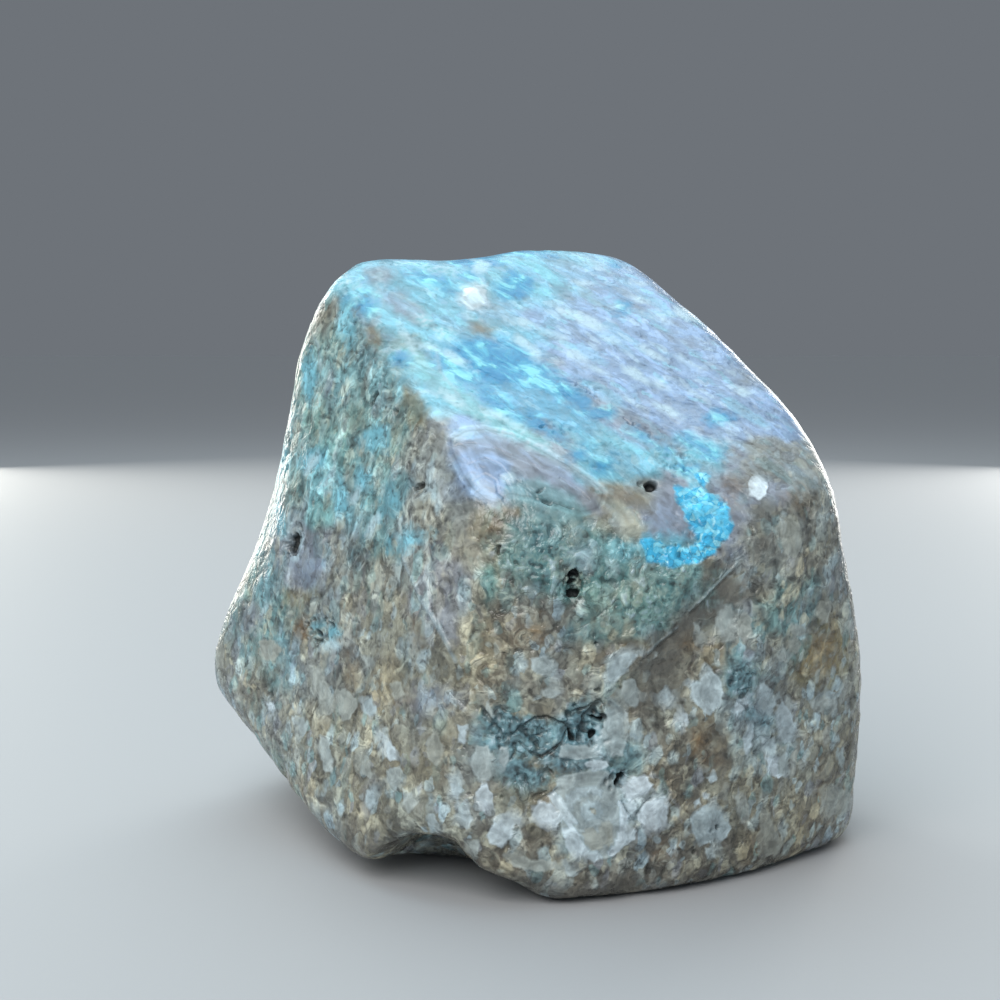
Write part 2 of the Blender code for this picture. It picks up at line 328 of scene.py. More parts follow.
PANELS = (  # patches of one colour; calm is how free of fragments and figure each one is
    Panel("grey", 0.4, "428,438 446,436 454,470 466,494 484,508 478,532 456,530 438,500"),
    Panel("clast", 0.8, "450,436 466,426 488,423 516,432 548,450 580,468 602,484 598,490 570,473 540,457 "
                        "510,442 484,434 464,437 454,445"),
    Panel("lavender_grey", 0.9, "450,446 466,438 486,436 512,444 540,458 568,474 598,496 602,514 588,516 "
                                "560,500 530,484 500,466 470,452 456,458"),
    Panel("lavender", 0.9, "456,457 472,449 494,453 512,464 508,476 498,490 496,506 482,501 466,486 "
                           "457,470"),
    Panel("milk_blue", 0.9, "462,474 478,476 494,486 496,504 482,501 468,488"),
    Panel("sky", 0.6, "422,384 440,378 456,388 464,402 442,408 426,400"),
    Panel("lavender_grey", 0.7, "378,291 402,296 426,310 434,326 415,323 395,313"),
    Panel("lavender_grey", 0.5, "362,268 385,266 398,278 385,285 368,282"),
    Panel("tan", 0.5, "467,322 480,319 496,327 490,335 472,334"),
    Panel("olive", 0.4, "403,383 420,394 431,412 426,426 410,426 401,405"),
    Panel("tan", 0.5, "600,482 640,481 660,497 662,515 640,512 618,500 604,497"),
    Panel("cream", 0.6, "618,502 636,512 646,530 640,548 626,540 616,520"),
    Panel("lavender_grey", 1.0, "652,492 668,480 678,492 684,520 688,542 668,540 648,532 656,512"),
    Panel("grey_green", 0.7, "505,482 540,478 575,496 592,515 575,524 540,520 515,508 500,496"),
    Panel("grey", 0.6, "450,505 475,500 486,530 482,570 465,575 452,545"),
    Panel("tan", 0.4, "470,515 482,508 490,530 480,545 468,535"),
    Panel("rust", 0.4, "502,506 519,507 517,518 504,517"),
    Panel("rust", 0.3, "526,622 544,622 543,643 527,642"),
    Panel("clast", 0.8, "566,556 574,547 594,548 594,566 580,572 567,566"),
    Panel("aqua", 0.6, "605,545 616,539 625,545 622,558 611,562 604,555"),
    Panel("olive", 0.5, "622,646 640,640 650,648 638,656 624,656"),
    # This matrix panel is the dark band under the diagonal ridge, partly painted shade.
    Panel("matrix", 1.0, "728,578 745,584 760,598 742,604 722,602 704,611 694,622 690,640 672,650 "
                         "648,657 641,662 648,650 672,634 692,611 712,592"),
    Panel("brown", 0.6, "640,668 680,672 690,700 672,712 648,700 636,690"),
    Panel("matrix", 0.7, "708,720 724,722 727,760 722,790 708,775 712,745"),
    Panel("olive", 0.4, "810,632 840,636 850,668 838,690 815,690 800,665"),
    Panel("rust", 0.4, "692,728 702,735 700,757 692,752"),
    Panel("clast", 0.0, "735,700 750,690 760,705 778,714 797,728 797,746 787,762 770,775 750,775 736,766 "
                        "729,742 730,715"),
    Panel("vug_grey", 0.2, "728,640 740,650 755,665 757,685 742,698 728,690 724,665"),
    Panel("lavender_grey", 0.5, "288,560 306,556 316,572 312,590 296,592 284,578"),
    Panel("lavender_grey", 0.4, "240,600 254,600 262,616 254,634 242,634"),
    Panel("lavender_grey", 0.4, "318,651 340,650 342,665 325,672"),
    Panel("brown", 0.4, "404,614 416,612 422,634 416,645 406,640"),
    Panel("brown", 0.4, "344,652 352,655 356,680 350,690 344,672"),
    Panel("lavender_grey", 0.4, "430,600 444,595 456,615 460,640 450,650 436,625"),
    Panel("tan", 0.4, "402,668 420,672 422,695 408,702 398,690"),
    Panel("brown", 0.3, "388,720 425,715 432,735 410,750 392,740"),
    Panel("olive", 0.3, "283,590 320,588 318,600 300,612 285,604"),
    Panel("rust", 0.3, "294,622 305,618 308,636 302,641 294,638"),
    Panel("tan", 0.4, "366,325 376,325 384,342 378,352 366,344"),
    Panel("azure", 0.3, "505,276 520,272 532,282 530,298 512,300 498,292"),
    Panel("azure_haze", 0.3, "446,256 470,253 486,262 464,270 450,266"),
    Panel("frost", 0.6, "462,286 478,282 490,292 486,306 470,312 460,300"),
    Panel("azure", 0.3, "455,345 480,338 510,342 528,352 532,372 520,384 495,384 470,372 452,360"),
    Panel("azure_haze", 0.3, "530,385 560,382 590,400 602,425 590,440 560,430 535,410"),
    Panel("aqua", 0.5, "398,352 420,350 450,378 480,400 515,420 545,438 540,446 500,430 460,412 425,386 "
                       "402,366"),
    Panel("lavender_grey", 0.4, "560,400 600,396 650,420 690,446 680,456 640,440 600,420"),
)
WHITE = (  # opaque white streaks and flecks
    Mark(475, 297, 8, 6, -30), Mark(470, 316, 8, 4, -20), Mark(584, 283, 9, 4, -8),
    Mark(590, 322, 18, 6, -25), Mark(575, 355, 12, 4, -25), Mark(408, 338, 12, 4, -60),
    Mark(430, 346, 16, 3, -15), Mark(455, 358, 18, 4, -35), Mark(524, 342, 12, 5, -40),
    Mark(535, 352, 6, 9, 20), Mark(480, 262, 10, 5, -20), Mark(553, 335, 12, 4, -15),
    Mark(616, 306, 6, 3, 0), Mark(636, 375, 14, 4, -30), Mark(660, 384, 9, 4, -30),
    Mark(425, 392, 7, 3, 0), Mark(452, 400, 12, 3, -40), Mark(500, 418, 18, 3, -25),
    Mark(330, 646, 9, 5, 10), Mark(297, 558, 6, 4, 40), Mark(303, 540, 3, 9, -10),
    Mark(372, 524, 4, 10, -30), Mark(356, 496, 4, 9, -20), Mark(433, 494, 4, 12, 12),
    Mark(509, 478, 5, 4, 0), Mark(740, 390, 8, 3, -20), Mark(312, 462, 3, 10, -30),
    Mark(640, 300, 8, 3, -20), Mark(668, 322, 10, 3, -25), Mark(612, 340, 9, 3, -20),
    Mark(650, 352, 12, 3, -25), Mark(600, 372, 9, 3, -28), Mark(690, 362, 10, 3, -30),
    Mark(560, 312, 8, 3, -15), Mark(524, 322, 10, 3, -20), Mark(700, 398, 10, 3, -30),
    Mark(628, 398, 9, 3, -30), Mark(664, 408, 12, 3, -30),
)
TURQUOISE = (  # pale turquoise-white veins
    Mark(452, 366, 34, 5, -38), Mark(475, 392, 30, 6, -30), Mark(510, 432, 36, 4, -25),
    Mark(545, 442, 12, 5, -30), Mark(640, 436, 26, 4, -32), Mark(706, 452, 16, 4, -25),
    Mark(588, 476, 14, 5, -30), Mark(400, 352, 14, 6, 0), Mark(372, 300, 6, 14, -20),
    Mark(420, 268, 24, 7, -18), Mark(462, 276, 18, 6, -20), Mark(352, 284, 12, 6, -30),
    Mark(440, 332, 26, 5, -34),
)
LAVENDER = (
    Mark(474, 466, 20, 26, -25), Mark(484, 492, 14, 12, -20), Mark(520, 448, 44, 10, -22),
    Mark(560, 470, 40, 12, -30), Mark(492, 310, 34, 12, -20), Mark(400, 300, 24, 9, -35),
    Mark(665, 520, 18, 22, -30), Mark(730, 545, 12, 26, 30), Mark(600, 300, 44, 18, -10),
    Mark(680, 330, 30, 12, -35), Mark(312, 565, 12, 12, 0), Mark(430, 700, 20, 14, 0),
)
RUST = (
    Mark(371, 336, 8, 11, 20), Mark(362, 330, 5, 5, 0), Mark(406, 385, 5, 4, 0), Mark(268, 546, 5, 12, 8),
    Mark(299, 624, 7, 14, 5), Mark(512, 512, 13, 7, 10), Mark(575, 542, 5, 5, 0),
    Mark(535, 631, 13, 10, 0), Mark(480, 330, 14, 6, -15), Mark(552, 362, 10, 6, -15),
    Mark(700, 735, 9, 20, -10), Mark(712, 757, 10, 7, 0), Mark(735, 488, 7, 8, 0),
    Mark(610, 494, 18, 6, -8), Mark(416, 640, 5, 18, 8), Mark(404, 700, 10, 9, 0),
    Mark(352, 670, 4, 18, 0), Mark(495, 785, 6, 8, 0), Mark(818, 770, 5, 26, 0),
    Mark(540, 800, 18, 7, -10), Mark(660, 850, 14, 8, 0), Mark(692, 640, 9, 8, 0),
    Mark(800, 505, 16, 9, 0), Mark(822, 655, 20, 22, 0), Mark(487, 520, 12, 7, 0),
    Mark(632, 650, 12, 8, 0), Mark(720, 655, 7, 12, 0),
)

# Open pits and vugs, with their depths in millimetres.
PITS = (
    Pit(573, 576, 9, 7, 1.10, 0), Pit(572, 592, 8, 5, 0.90, 14), Pit(650, 486, 7, 6, 0.80, 0),
    Pit(640, 484, 5, 3, 0.30, 20), Pit(295, 546, 5, 12, 0.75, -12), Pit(301, 528, 3, 6, 0.35, 10),
    Pit(319, 633, 6, 3, 0.50, -20), Pit(332, 626, 6, 3, 0.45, -40), Pit(318, 640, 5, 3, 0.45, 0),
    Pit(373, 400, 3, 11, 0.45, -20), Pit(394, 411, 3, 4, 0.40, 0), Pit(352, 322, 4, 2, 0.30, -20),
    Pit(420, 486, 6, 4, 0.50, 30), Pit(498, 550, 3, 6, 0.45, -15), Pit(541, 490, 5, 2, 0.30, 25),
    Pit(548, 503, 13, 2, 0.26, -18), Pit(597, 643, 4, 3, 0.40, 0), Pit(597, 690, 4, 3, 0.40, 0),
    Pit(571, 735, 5, 7, 0.90, 10), Pit(591, 733, 4, 7, 0.90, 0), Pit(594, 718, 8, 3, 0.80, -20),
    Pit(620, 779, 5, 9, 0.80, -20), Pit(484, 712, 4, 5, 0.40, 0), Pit(502, 797, 3, 4, 0.30, 0),
    Pit(718, 828, 3, 3, 0.45, 0), Pit(711, 831, 4, 2, 0.22, 20), Pit(592, 810, 3, 2, 0.18, 0),
    Pit(283, 774, 7, 6, 0.40, 40), Pit(545, 792, 8, 2, 0.28, 20), Pit(677, 468, 5, 2, 0.22, -20),
    Pit(684, 456, 5, 3, 0.22, -20), Pit(543, 426, 4, 2, 0.22, 0), Pit(270, 694, 5, 3, 0.30, 0),
    Pit(434, 533, 4, 3, 0.22, 0), Pit(612, 582, 10, 4, 0.24, -10), Pit(694, 853, 3, 4, 0.25, 0),
)
CRACKS = (  # worn seams, above all the loops of the vug
    Crack("503,740 515,733 525,724 535,718 548,717 558,722 567,724", 1.5, 0.34),
    Crack("520,742 530,752 542,757 552,750 562,742 567,730", 1.4, 0.32),
    Crack("482,708 488,716 497,728 504,738", 1.8, 0.34),
    Crack("530,738 538,735 547,732", 1.3, 0.24),
    Crack("567,724 572,712 585,708 600,700", 1.4, 0.30),
    Crack("516,744 515,752 511,759", 1.3, 0.26),
    Crack("556,757 568,761 577,766 581,771", 1.2, 0.18),
    Crack("538,801 546,796 553,793 557,789", 1.4, 0.24),
    Crack("622,801 627,810 632,818 638,824", 1.0, 0.20),
    Crack("637,815 644,804 654,797", 1.0, 0.18),
    Crack("740,566 728,577 714,591 700,605 690,614", 1.2, 0.13),
    Crack("678,631 662,644 650,655 641,661", 1.2, 0.13),
    Crack("735,685 736,672 746,668 754,675 752,687 744,690", 1.4, 0.16),
    Crack("752,742 762,736 770,740 762,748 754,752 760,758", 1.3, 0.12),
    Crack("548,500 560,504 572,509", 1.3, 0.16),
    Crack("455,446 472,443 492,447 515,457 545,470", 1.0, 0.06),
    Crack("558,380 575,383 590,391", 1.2, 0.08),
    Crack("624,418 636,427 652,434", 1.3, 0.10),
    Crack("376,396 380,386 386,372", 1.2, 0.10),
    Crack("374,290 392,291 404,297", 1.2, 0.10),
    Crack("500,476 506,480 510,488", 1.3, 0.10),
    Crack("470,464 486,458 500,464 510,476", 1.0, 0.06),
    Crack("474,480 486,474 496,480 498,492", 1.0, 0.06),
    Crack("560,478 576,487 590,500", 1.0, 0.08),
    Crack("735,700 745,706 752,716 757,728", 1.2, 0.14),
    Crack("757,728 766,722 776,730 779,742", 1.2, 0.12),
)
VEINS_AND_RIDGE_HIGHLIGHT = (  # thin light veins, standing a little proud; the two on the diagonal ridge are partly a painted highlight along its lit edge
    Crack("402,557 409,570 415,584 421,600 431,614 443,634 456,661", 2.4, -0.12),
    # Along the diagonal ridge: raised, and pale as a painted highlight on its lit edge.
    Crack("737,563 726,574 712,588 698,602 689,611", 0.8, -0.16),
    Crack("677,627 660,641 648,652", 0.8, -0.14),
    Crack("372,412 378,396 380,384", 1.4, -0.05),
    Crack("310,322 318,345 320,370", 1.6, -0.05),
    Crack("437,352 440,372 456,392 468,410", 1.8, -0.04),
    Crack("386,290 402,296 420,308", 1.6, -0.05),
)
VUG = (  # the blue-grey mottled lining of the vug
    Mark(520, 733, 36, 20, 6), Mark(586, 728, 30, 26, 20), Mark(520, 772, 26, 14, -20),
    Mark(560, 758, 34, 16, -8), Mark(494, 722, 14, 16, 0), Mark(612, 775, 12, 14, 0),
    Mark(740, 682, 15, 16, 0), Mark(750, 712, 7, 11, 0), Mark(764, 723, 10, 8, 0),
)
ROUGH = (  # crumbly, broken places among the polish
    Rough(518, 735, 36, 22, 6, 1.0, 0.38), Rough(586, 722, 30, 28, 20, 1.0, 0.44),
    Rough(545, 772, 40, 14, 8, 1.0, 0.30), Rough(492, 716, 12, 18, 0, 1.0, 0.40),
    Rough(612, 778, 12, 18, 0, 1.0, 0.45), Rough(742, 680, 16, 18, 0, 0.7, 0.28),
    Rough(768, 735, 24, 38, 10, 0.7, 0.11), Rough(550, 560, 52, 34, 0, 0.5, 0.13),
    Rough(665, 592, 40, 28, 10, 0.5, 0.13), Rough(704, 515, 34, 42, -20, 0.5, 0.12),
    Rough(322, 632, 24, 18, 20, 0.7, 0.32), Rough(703, 350, 18, 16, 0, 0.5, 0.10),
    Rough(383, 405, 16, 42, 0, 0.7, 0.16), Rough(616, 548, 14, 14, 0, 0.5, 0.16),
    Rough(680, 460, 26, 20, -20, 0.5, 0.13), Rough(297, 543, 14, 26, -8, 0.7, 0.25),
    Rough(262, 690, 20, 26, 0, 0.7, 0.16), Rough(610, 640, 26, 24, 0, 0.7, 0.18),
    Rough(640, 862, 50, 16, -5, 0.7, 0.22), Rough(725, 860, 26, 16, -8, 0.7, 0.20),
    Rough(720, 600, 60, 60, 0, 0.7, 0.05), Rough(350, 330, 20, 30, 0, 0.5, 0.12),
    Rough(540, 800, 30, 12, 0, 0.7, 0.20), Rough(574, 584, 16, 17, 0, 0.5, 0.40),
    Rough(590, 392, 20, 8, -30, 0.5, 0.16), Rough(556, 428, 18, 8, -20, 0.5, 0.16),
    Rough(640, 428, 22, 7, -30, 0.5, 0.14), Rough(428, 273, 14, 7, -20, 0.5, 0.12),
)
MATRIX_AND_PAINTED_SHADE = (  # smooth dark-brown matrix that no clast breaks; the first three marks, under the diagonal ridge, are partly painted shade, and the last four, along the bottom edge, are painted shade
    Mark(700, 612, 14, 44, -48), Mark(722, 585, 16, 20, -40), Mark(662, 660, 14, 24, -60),
    Mark(640, 700, 8, 10, 0), Mark(745, 480, 14, 14, 0), Mark(765, 540, 12, 20, 0),
    # Painted shade along the bottom edge, where the stone meets the floor.
    Mark(590, 893, 90, 9, 3), Mark(745, 872, 70, 8, -12), Mark(380, 848, 50, 7, 5),
    Mark(460, 862, 30, 9, 35),
)

MARKS = {  # the marks of each mineral on the sides that the front view shows
    "blue": BLUE,
    "vivid": VIVID,
    "teal": TEAL,
    "pale": (),
    "white": WHITE,
    "turquoise": TURQUOISE,
    "lavender": LAVENDER,
    "rust": RUST,
    "matrix": MATRIX_AND_PAINTED_SHADE,
    "vug": VUG,
}

# What the far sides hold, spread by chance in this order: how many, their widths, the flattest of
# them as a share of its width, and the lowest and highest tilt at which they lie.
Scatter = namedtuple("Scatter", "count smallest_mm largest_mm flattest lowest highest")
SCATTER = {
    "blue": Scatter(26, 1.5, 7.0, 0.35, 5, 80),
    "vivid": Scatter(5, 2.0, 5.0, 0.5, 10, 70),
    "teal": Scatter(14, 2.5, 7.0, 0.4, -50, 40),
    "pale": Scatter(75, 1.0, 5.0, 0.5, -60, 25),
    "white": Scatter(24, 0.8, 3.0, 0.25, 0, 80),
    "turquoise": Scatter(12, 2.0, 7.0, 0.15, 10, 80),
    "lavender": Scatter(12, 3.0, 8.0, 0.4, 0, 80),
    "rust": Scatter(26, 1.0, 4.5, 0.35, -60, 45),
    "matrix": Scatter(10, 3.0, 7.0, 0.3, -60, 20),
    "vug": Scatter(5, 3.0, 6.0, 0.5, -45, 30),
}
FAR_PITS = Scatter(26, 0.7, 2.2, 0.3, -50, 60)
FAR_ROUGH = Scatter(16, 2.0, 6.0, 0.5, -50, 50)
FAR_SEAMS = 9
FAR_SEAM = 0.2 * MM  # their half width and their depth
FAR_SEAM_BENDS = 6
FAR_SEAM_STEP = 4  # degrees round the stone from one bend to the next
FAR_SIDE = (82, 278)  # the turns between which the stone faces away from the front view

# How places wander before their zone is found, so that zones meet in uneven edges: the size of the
# noise's lumps and how far it moves them, in millimetres, and the seeds of its three parts.
DRIFTS = ((4.5, 3.0, (1, 2, 3)), (1.6, 1.2, (4, 5, 6)))
ZONE_SPREAD = 0.62  # how fast a zone's colour gives way to the next, as a share of its reach

VIEW_HEART = Vector((540, 580))  # the middle of the stone in the front view
NUDGES = range(0, 24, 2)  # pixels by which a place just off the stone's edge is moved in to it
STRETCH = 1.6  # the most that a mark's slope away from the camera lengthens it
NOWHERE = -20.0  # how far inside a mark a point is that lies nowhere near it, in millimetres
CLAST_SIDES = 6
LARGEST = 200_000  # triangles
FINE_MARGIN = 0.35 * MM  # the surface is divided again this far outside each pit and seam
OUTLINE_MARGIN = 3  # and this many pixels outside each clast
DEEP_ROUGH = 0.24 * MM  # rough places deeper than this are made from smaller triangles
LUMPS_MM = (0.5, 0.7, 1.0)  # the sizes of the lumps in rough places
CLAST_RISE = 0.02 * MM  # how far a hard clast stands proud of the softer ground
CLAST_SHOULDER_MM = 0.4  # how far within a clast it reaches that height
RIM_DIP = 0.015 * MM  # how deep the worn line round it is
RIM_MM = 0.16  # about how wide
RIM_RAGGED = 0.14  # and how ragged
ROOF_SLOPE = (0.30, 0.55)  # how far up a face looks where the roof begins, and where it is all roof
FLAT_FADE = (0.05 * MM, 0.8 * MM)  # heights above the flat between which the relief fades in
CALMED = 0.6  # how much of the low waves a calm patch takes away

# How a mark's edge falls away: how ragged it is, and how far inside it that begins and is complete.
# Pits, seams and veins count in their own half widths, rough places in millimetres, patches in pixels.
Edge = namedtuple("Edge", "ragged start full")
PIT_EDGE = Edge(0.6, -0.05, 0.70)
SEAM_EDGE = Edge(0.3, -0.6, 0.9)
VEIN_EDGE = Edge(0.2, -0.9, 0.9)
ROUGH_EDGE = Edge(0.5, 0.0, 0.9)
PATCH_EDGE = Edge(3, -4, 5)
PATCH_SHARE = 0.8  # how strongly a patch of one colour covers its ground

UP_THE_FACE = (0.16, -0.10, 1.0)  # the way the left face's chalcedony is banded
DOWN_THE_ROOF = (0.78, -0.46, -0.42)  # the way the roof's is

# Noises on the mesh, each a sum of waves: a wave's share, the size of its lumps, its seed, and the
# way that it is drawn out and how far.
Wave = namedtuple("Wave", "share size_mm seed along stretch", defaults=(None, 1.0))
WAVES = {
    "ragged": (Wave(1.0, 0.7, 7), Wave(0.7, 0.35, 8)),
    "fluted": (Wave(1.0, 2.6, 11, UP_THE_FACE, 2.6), Wave(0.5, 1.1, 12, UP_THE_FACE, 2.0)),
    "banded": (Wave(1.0, 3.0, 13, DOWN_THE_ROOF, 2.6), Wave(0.5, 1.2, 14, DOWN_THE_ROOF, 2.4)),
    "lumpy": (Wave(1.4, 2.2, 15), Wave(1.1, 1.2, 16)),
    "shade": (Wave(0.9, 4.2, 21), Wave(0.4, 2.0, 22)),
    "warmth": (Wave(1.1, 5.0, 23),),
}

# What the mesh keeps at each point besides its ground colour. Each mineral's is how far inside it the
# point is, in millimetres.
KEPT = (
    "blue", "vivid", "teal", "pale", "milk", "white", "turquoise", "lavender", "rust", "matrix", "vug",
    "vein", "breccia", "streaks", "roof", "calm", "depth", "bulk", "shade", "warmth", "lens",
)
Line = namedtuple("Line", "places half_width depth")
Features = namedtuple("Features", "pits seams veins minerals rough")

# Fragments of about one size. Weight is what they follow, share how many of them show, edge how
# large each is in its cell, strength how strongly they colour the ground, and shift moves the
# pattern.
Layer = namedtuple("Layer", "weight size_mm share edge strength stretch shift colours")
UPRIGHT = Vector(UP_THE_FACE).to_track_quat("X", "Z").to_euler()
ROOF_GRAIN = Vector(DOWN_THE_ROOF).to_track_quat("X", "Z").to_euler()
LEFT_COLOURS = "grey_green aqua lavender_grey cream grey_green tan clast grey matrix"
ROOF_COLOURS = "lavender frost turquoise lavender_grey sky lavender frost sky lavender_grey"
CLAST_COLOURS = "brown grey clast grey_green tan cream matrix cream clast lavender_grey"
LAYERS = (
    Layer("left", 1.6, 0.55, 0.60, 0.45, (1.8, 0.8, 0.8), (2.2, 6.1, 0.3), LEFT_COLOURS),
    Layer("roof_bands", 1.9, 0.60, 0.60, 0.40, (2.6, 0.8, 0.8), (7.7, 2.1, 9.3), ROOF_COLOURS),
    Layer("roof_bands", 0.9, 0.60, 0.55, 0.38, (2.4, 0.8, 0.8), (0.9, 3.8, 6.6), ROOF_COLOURS),
    Layer("breccia", 0.8, 0.60, 0.60, 0.60, (1.5, 0.9, 0.9), (3.1, 0.4, 7.7), CLAST_COLOURS),
    Layer("breccia", 1.4, 0.55, 0.55, 0.72, (1.5, 0.9, 0.9), (9.3, 4.1, 2.2), CLAST_COLOURS),
    Layer("breccia", 3.0, 0.25, 0.50, 0.45, (1.4, 0.9, 0.9), (1.7, 8.8, 5.5), CLAST_COLOURS),
)

# A fragment's tone from its heart outward: even, then a pale rim, then the dark line round it.
RIM = ((-0.40, 0.50), (-0.14, 0.60), (0.04, 0.35), (0.20, 0.50))

# How each mineral lies over what is under it: how far its edge wanders and how soft that edge is,
# both in millimetres, and how much of it shows.
Lay = namedtuple("Lay", "wander softness strength")
LAYS = {
    "matrix": Lay(0.9, 0.8, 0.75),
    "lavender": Lay(1.0, 0.9, 0.45),
    "teal": Lay(1.6, 1.2, 0.75),
    "vug": Lay(0.8, 0.5, 0.85),
    "rust": Lay(1.0, 0.8, 0.36),
    "turquoise": Lay(0.9, 0.5, 0.58),
    "blue": Lay(1.0, 0.6, 0.80),
    "vivid": Lay(0.6, 0.2, 0.95),
    "white": Lay(0.5, 0.3, 0.6),
    "vein": Lay(0.20, 0.16, 0.4),
}

# How each thing scales the colour that it lies in, where there is none of it and where there is most.
TONES = {
    "ground": (0.64, 1.42),
    "fragment": (0.56, 1.16),
    "gap": (1.0, 0.48),
    "patch": (0.80, 1.26),
    "matrix": (0.8, 1.3),
    "stain": (0.7, 1.3),
    "patina": (0.74, 1.25),
    "crust grain": (1.18, 0.70),
    "crust": (0.78, 1.22),
    "lens rim": (1.0, 1.30),
    "lens line": (1.0, 0.76),
    "lens band": (1.0, 1.14),
    # The next two darken the figure's crevices with painted shade and lighten its crests with a painted
    # highlight.
    "crevice_shade": (1.0, 0.60),
    "crest": (1.0, 1.32),
    "clast ring": (1.0, 0.84),
    "clast heart": (1.08, 0.92),
    "clast arc": (1.0, 1.10),
    "clast cloud": (0.74, 1.24),
    "clast flaw": (0.84, 1.12),
    "pinhole": (1.0, 0.6),
}

# The colours that a mineral runs through, by the settings' names or those of SHADES.
RAMPS = {
    "teal": ((0.15, "deep_teal"), (0.42, "teal"), (0.66, "pale_teal"), (0.9, "clast")),
    "vug": ((0.1, "deep_vug"), (0.38, "mid_vug"), (0.62, "vug_grey"), (0.9, "clast")),
    "blue": ((0.05, "azure"), (0.45, "mid_azure"), (0.8, "pale_azure"), (1.0, "turquoise")),
    "vivid": ((0.0, "deep_cyan"), (0.35, "cyan"), (0.7, "mid_cyan"), (1.0, "pale_cyan")),
    "milk": ((0.0, "tan"), (0.3, "grey_clast"), (0.6, "blue_clast"), (1.0, "white")),
}

# Sizes of the finish's noises, in millimetres, from real ones: the spacing of the chalcedony's bands,
# its grit, the breaks between clasts, crumbs of the ground and grains of the crust.
FIGURE_MM = 1.5
GRIT_MM = 0.6
SWING_MM = 1.9
CRUMB_MM = 1.2
CRUST_MM = 0.5
FINE_SHARE = 0.35  # the grit's share in how far edges wander
CLAST_WANDER = 0.42  # how far a clast's edge wanders
LENS_WANDER = 0.12  # and the lens's
LENS_LINES = (("lens rim", 0.0, 0.22), ("lens line", 0.42, 0.16))  # how far inside, and how wide
LENS_BANDS = 7.0  # radians of banding in each millimetre of the lens
CLAST_ARCS = 11.0  # and of each clast
CREVICES = 12.0  # radians of creasing in the figure's full swing

# The height in millimetres of each noise's relief, which is too fine for the mesh.
WAVE_RELIEF = 0.06
NOISE_RELIEF = {"figure": 0.42, "grit": 0.12, "crumb": 0.20}

# Roughness, from the clear polish to where the figure is cloudiest, and what a pit adds.
POLISH = (0.20, 0.34)
PIT_DULLNESS = 0.4

# The colours between those that the user can change, for the minerals' shaded and lit parts.
SHADES = {
    "deep_teal": "#2f4a4b",
    "pale_teal": "#86a39c",
    "deep_vug": "#2a3a40",
    "mid_vug": "#587680",
    "mid_azure": "#4399c2",
    "pale_azure": "#5eb6d2",
    "patina": "#74b6c8",
    "deep_cyan": "#36a4d2",
    "mid_cyan": "#6ed0f0",
    "pale_cyan": "#98e2f4",
    "grey_clast": "#9a9f97",
    "blue_clast": "#a8bac0",
    "cold": "#f5fbff",
    "warm": "#fff5e5",
}


def linear(code):
    """An sRGB hex colour as linear red, green, blue and an alpha of one."""
    parts = [int(code[start : start + 2], 16) / 255 for start in (1, 3, 5)]
    return (*((p / 12.92 if p <= 0.04045 else ((p + 0.055) / 1.055) ** 2.4) for p in parts), 1.0)


def tint(name, description, code):
    """A colour that the user can change."""
    return FloatVectorProperty(
        name=name, description=description, subtype="COLOR", size=4, min=0, max=1, default=linear(code)
    )


class StoneSettings(bpy.types.PropertyGroup):
    """The sizes and colours of the stone."""

    squares: IntProperty(
        name="Squares", description="Squares along each side of the cube it starts from", default=90
    )
    smoothing: IntProperty(
        name="Smoothing", description="Passes that wear the frame's flat faces away", default=10
    )
    relief: FloatProperty(
        name="Relief", description="Height of the low waves polishing leaves", default=0.00013, unit="LENGTH"
    )
    lavender: tint("Lavender", "Clear lavender-blue chalcedony", "#8ba6c8")
    sky: tint("Sky", "Pale blue chalcedony on the roof", "#78b6ca")
    milk_blue: tint("Milk blue", "Pale blue-white chalcedony clast", "#a5c6e2")
    frost: tint("Frost", "White chalcedony with a cold cast", "#c4dfe8")
    aqua: tint("Aqua", "Pale green-blue chalcedony on the left face", "#7fb4ba")
    azure_haze: tint("Azure haze", "Chalcedony clouded with azure mineral", "#69aac9")
    azure: tint("Azure", "Shattuckite, deep azure", "#3686b4")
    turquoise: tint("Turquoise", "Pale turquoise crust", "#84d6e0")
    cyan: tint("Cyan", "Vivid cyan crust", "#46c0ee")
    teal: tint("Teal", "Teal-green speckled ground", "#5c8688")
    vug_grey: tint("Vug grey", "Blue-grey lining of the vug", "#7097a2")
    grey_green: tint("Grey-green", "Grey-green chalcedony", "#6f959c")
    grey: tint("Grey", "Warm grey ground", "#858a88")
    lavender_grey: tint("Lavender grey", "Grey chalcedony with a violet cast", "#848c98")
    tan: tint("Tan", "Tan ground", "#858477")
    brown: tint("Brown", "Brown ground", "#737168")
    matrix: tint("Matrix", "Smooth dark brown matrix", "#66645d")
    olive: tint("Olive", "Olive-tan ground", "#787257")
    clast: tint("Clast", "Pale chalcedony clast", "#a5bdc8")
    white: tint("White", "Opaque white clast", "#d3e2ea")
    cream: tint("Cream", "Cream clast", "#b3b3a2")
    rust: tint("Rust", "Iron stain", "#7a6140")
    # Painted shade for the insides of pits, seams and hollows.
    dark: tint("Dark", "Shadowed lining of a pit", "#161b1d")
    crumb: tint("Crumb", "What a pale crumb adds to the colour it lies in", "#70766f")


def sight(x, y):
    """The direction from the camera through a pixel of the front view."""
    pitch = math.radians(VIEW_PITCH)
    forward = Vector((0, math.cos(pitch), -math.sin(pitch)))
    upward = Vector((0, math.sin(pitch), math.cos(pitch)))
    across, up = (x - VIEW_SIDE / 2) / FOCAL, (VIEW_SIDE / 2 - y) / FOCAL
    return (forward + Vector((across, 0, 0)) + upward * up).normalized()


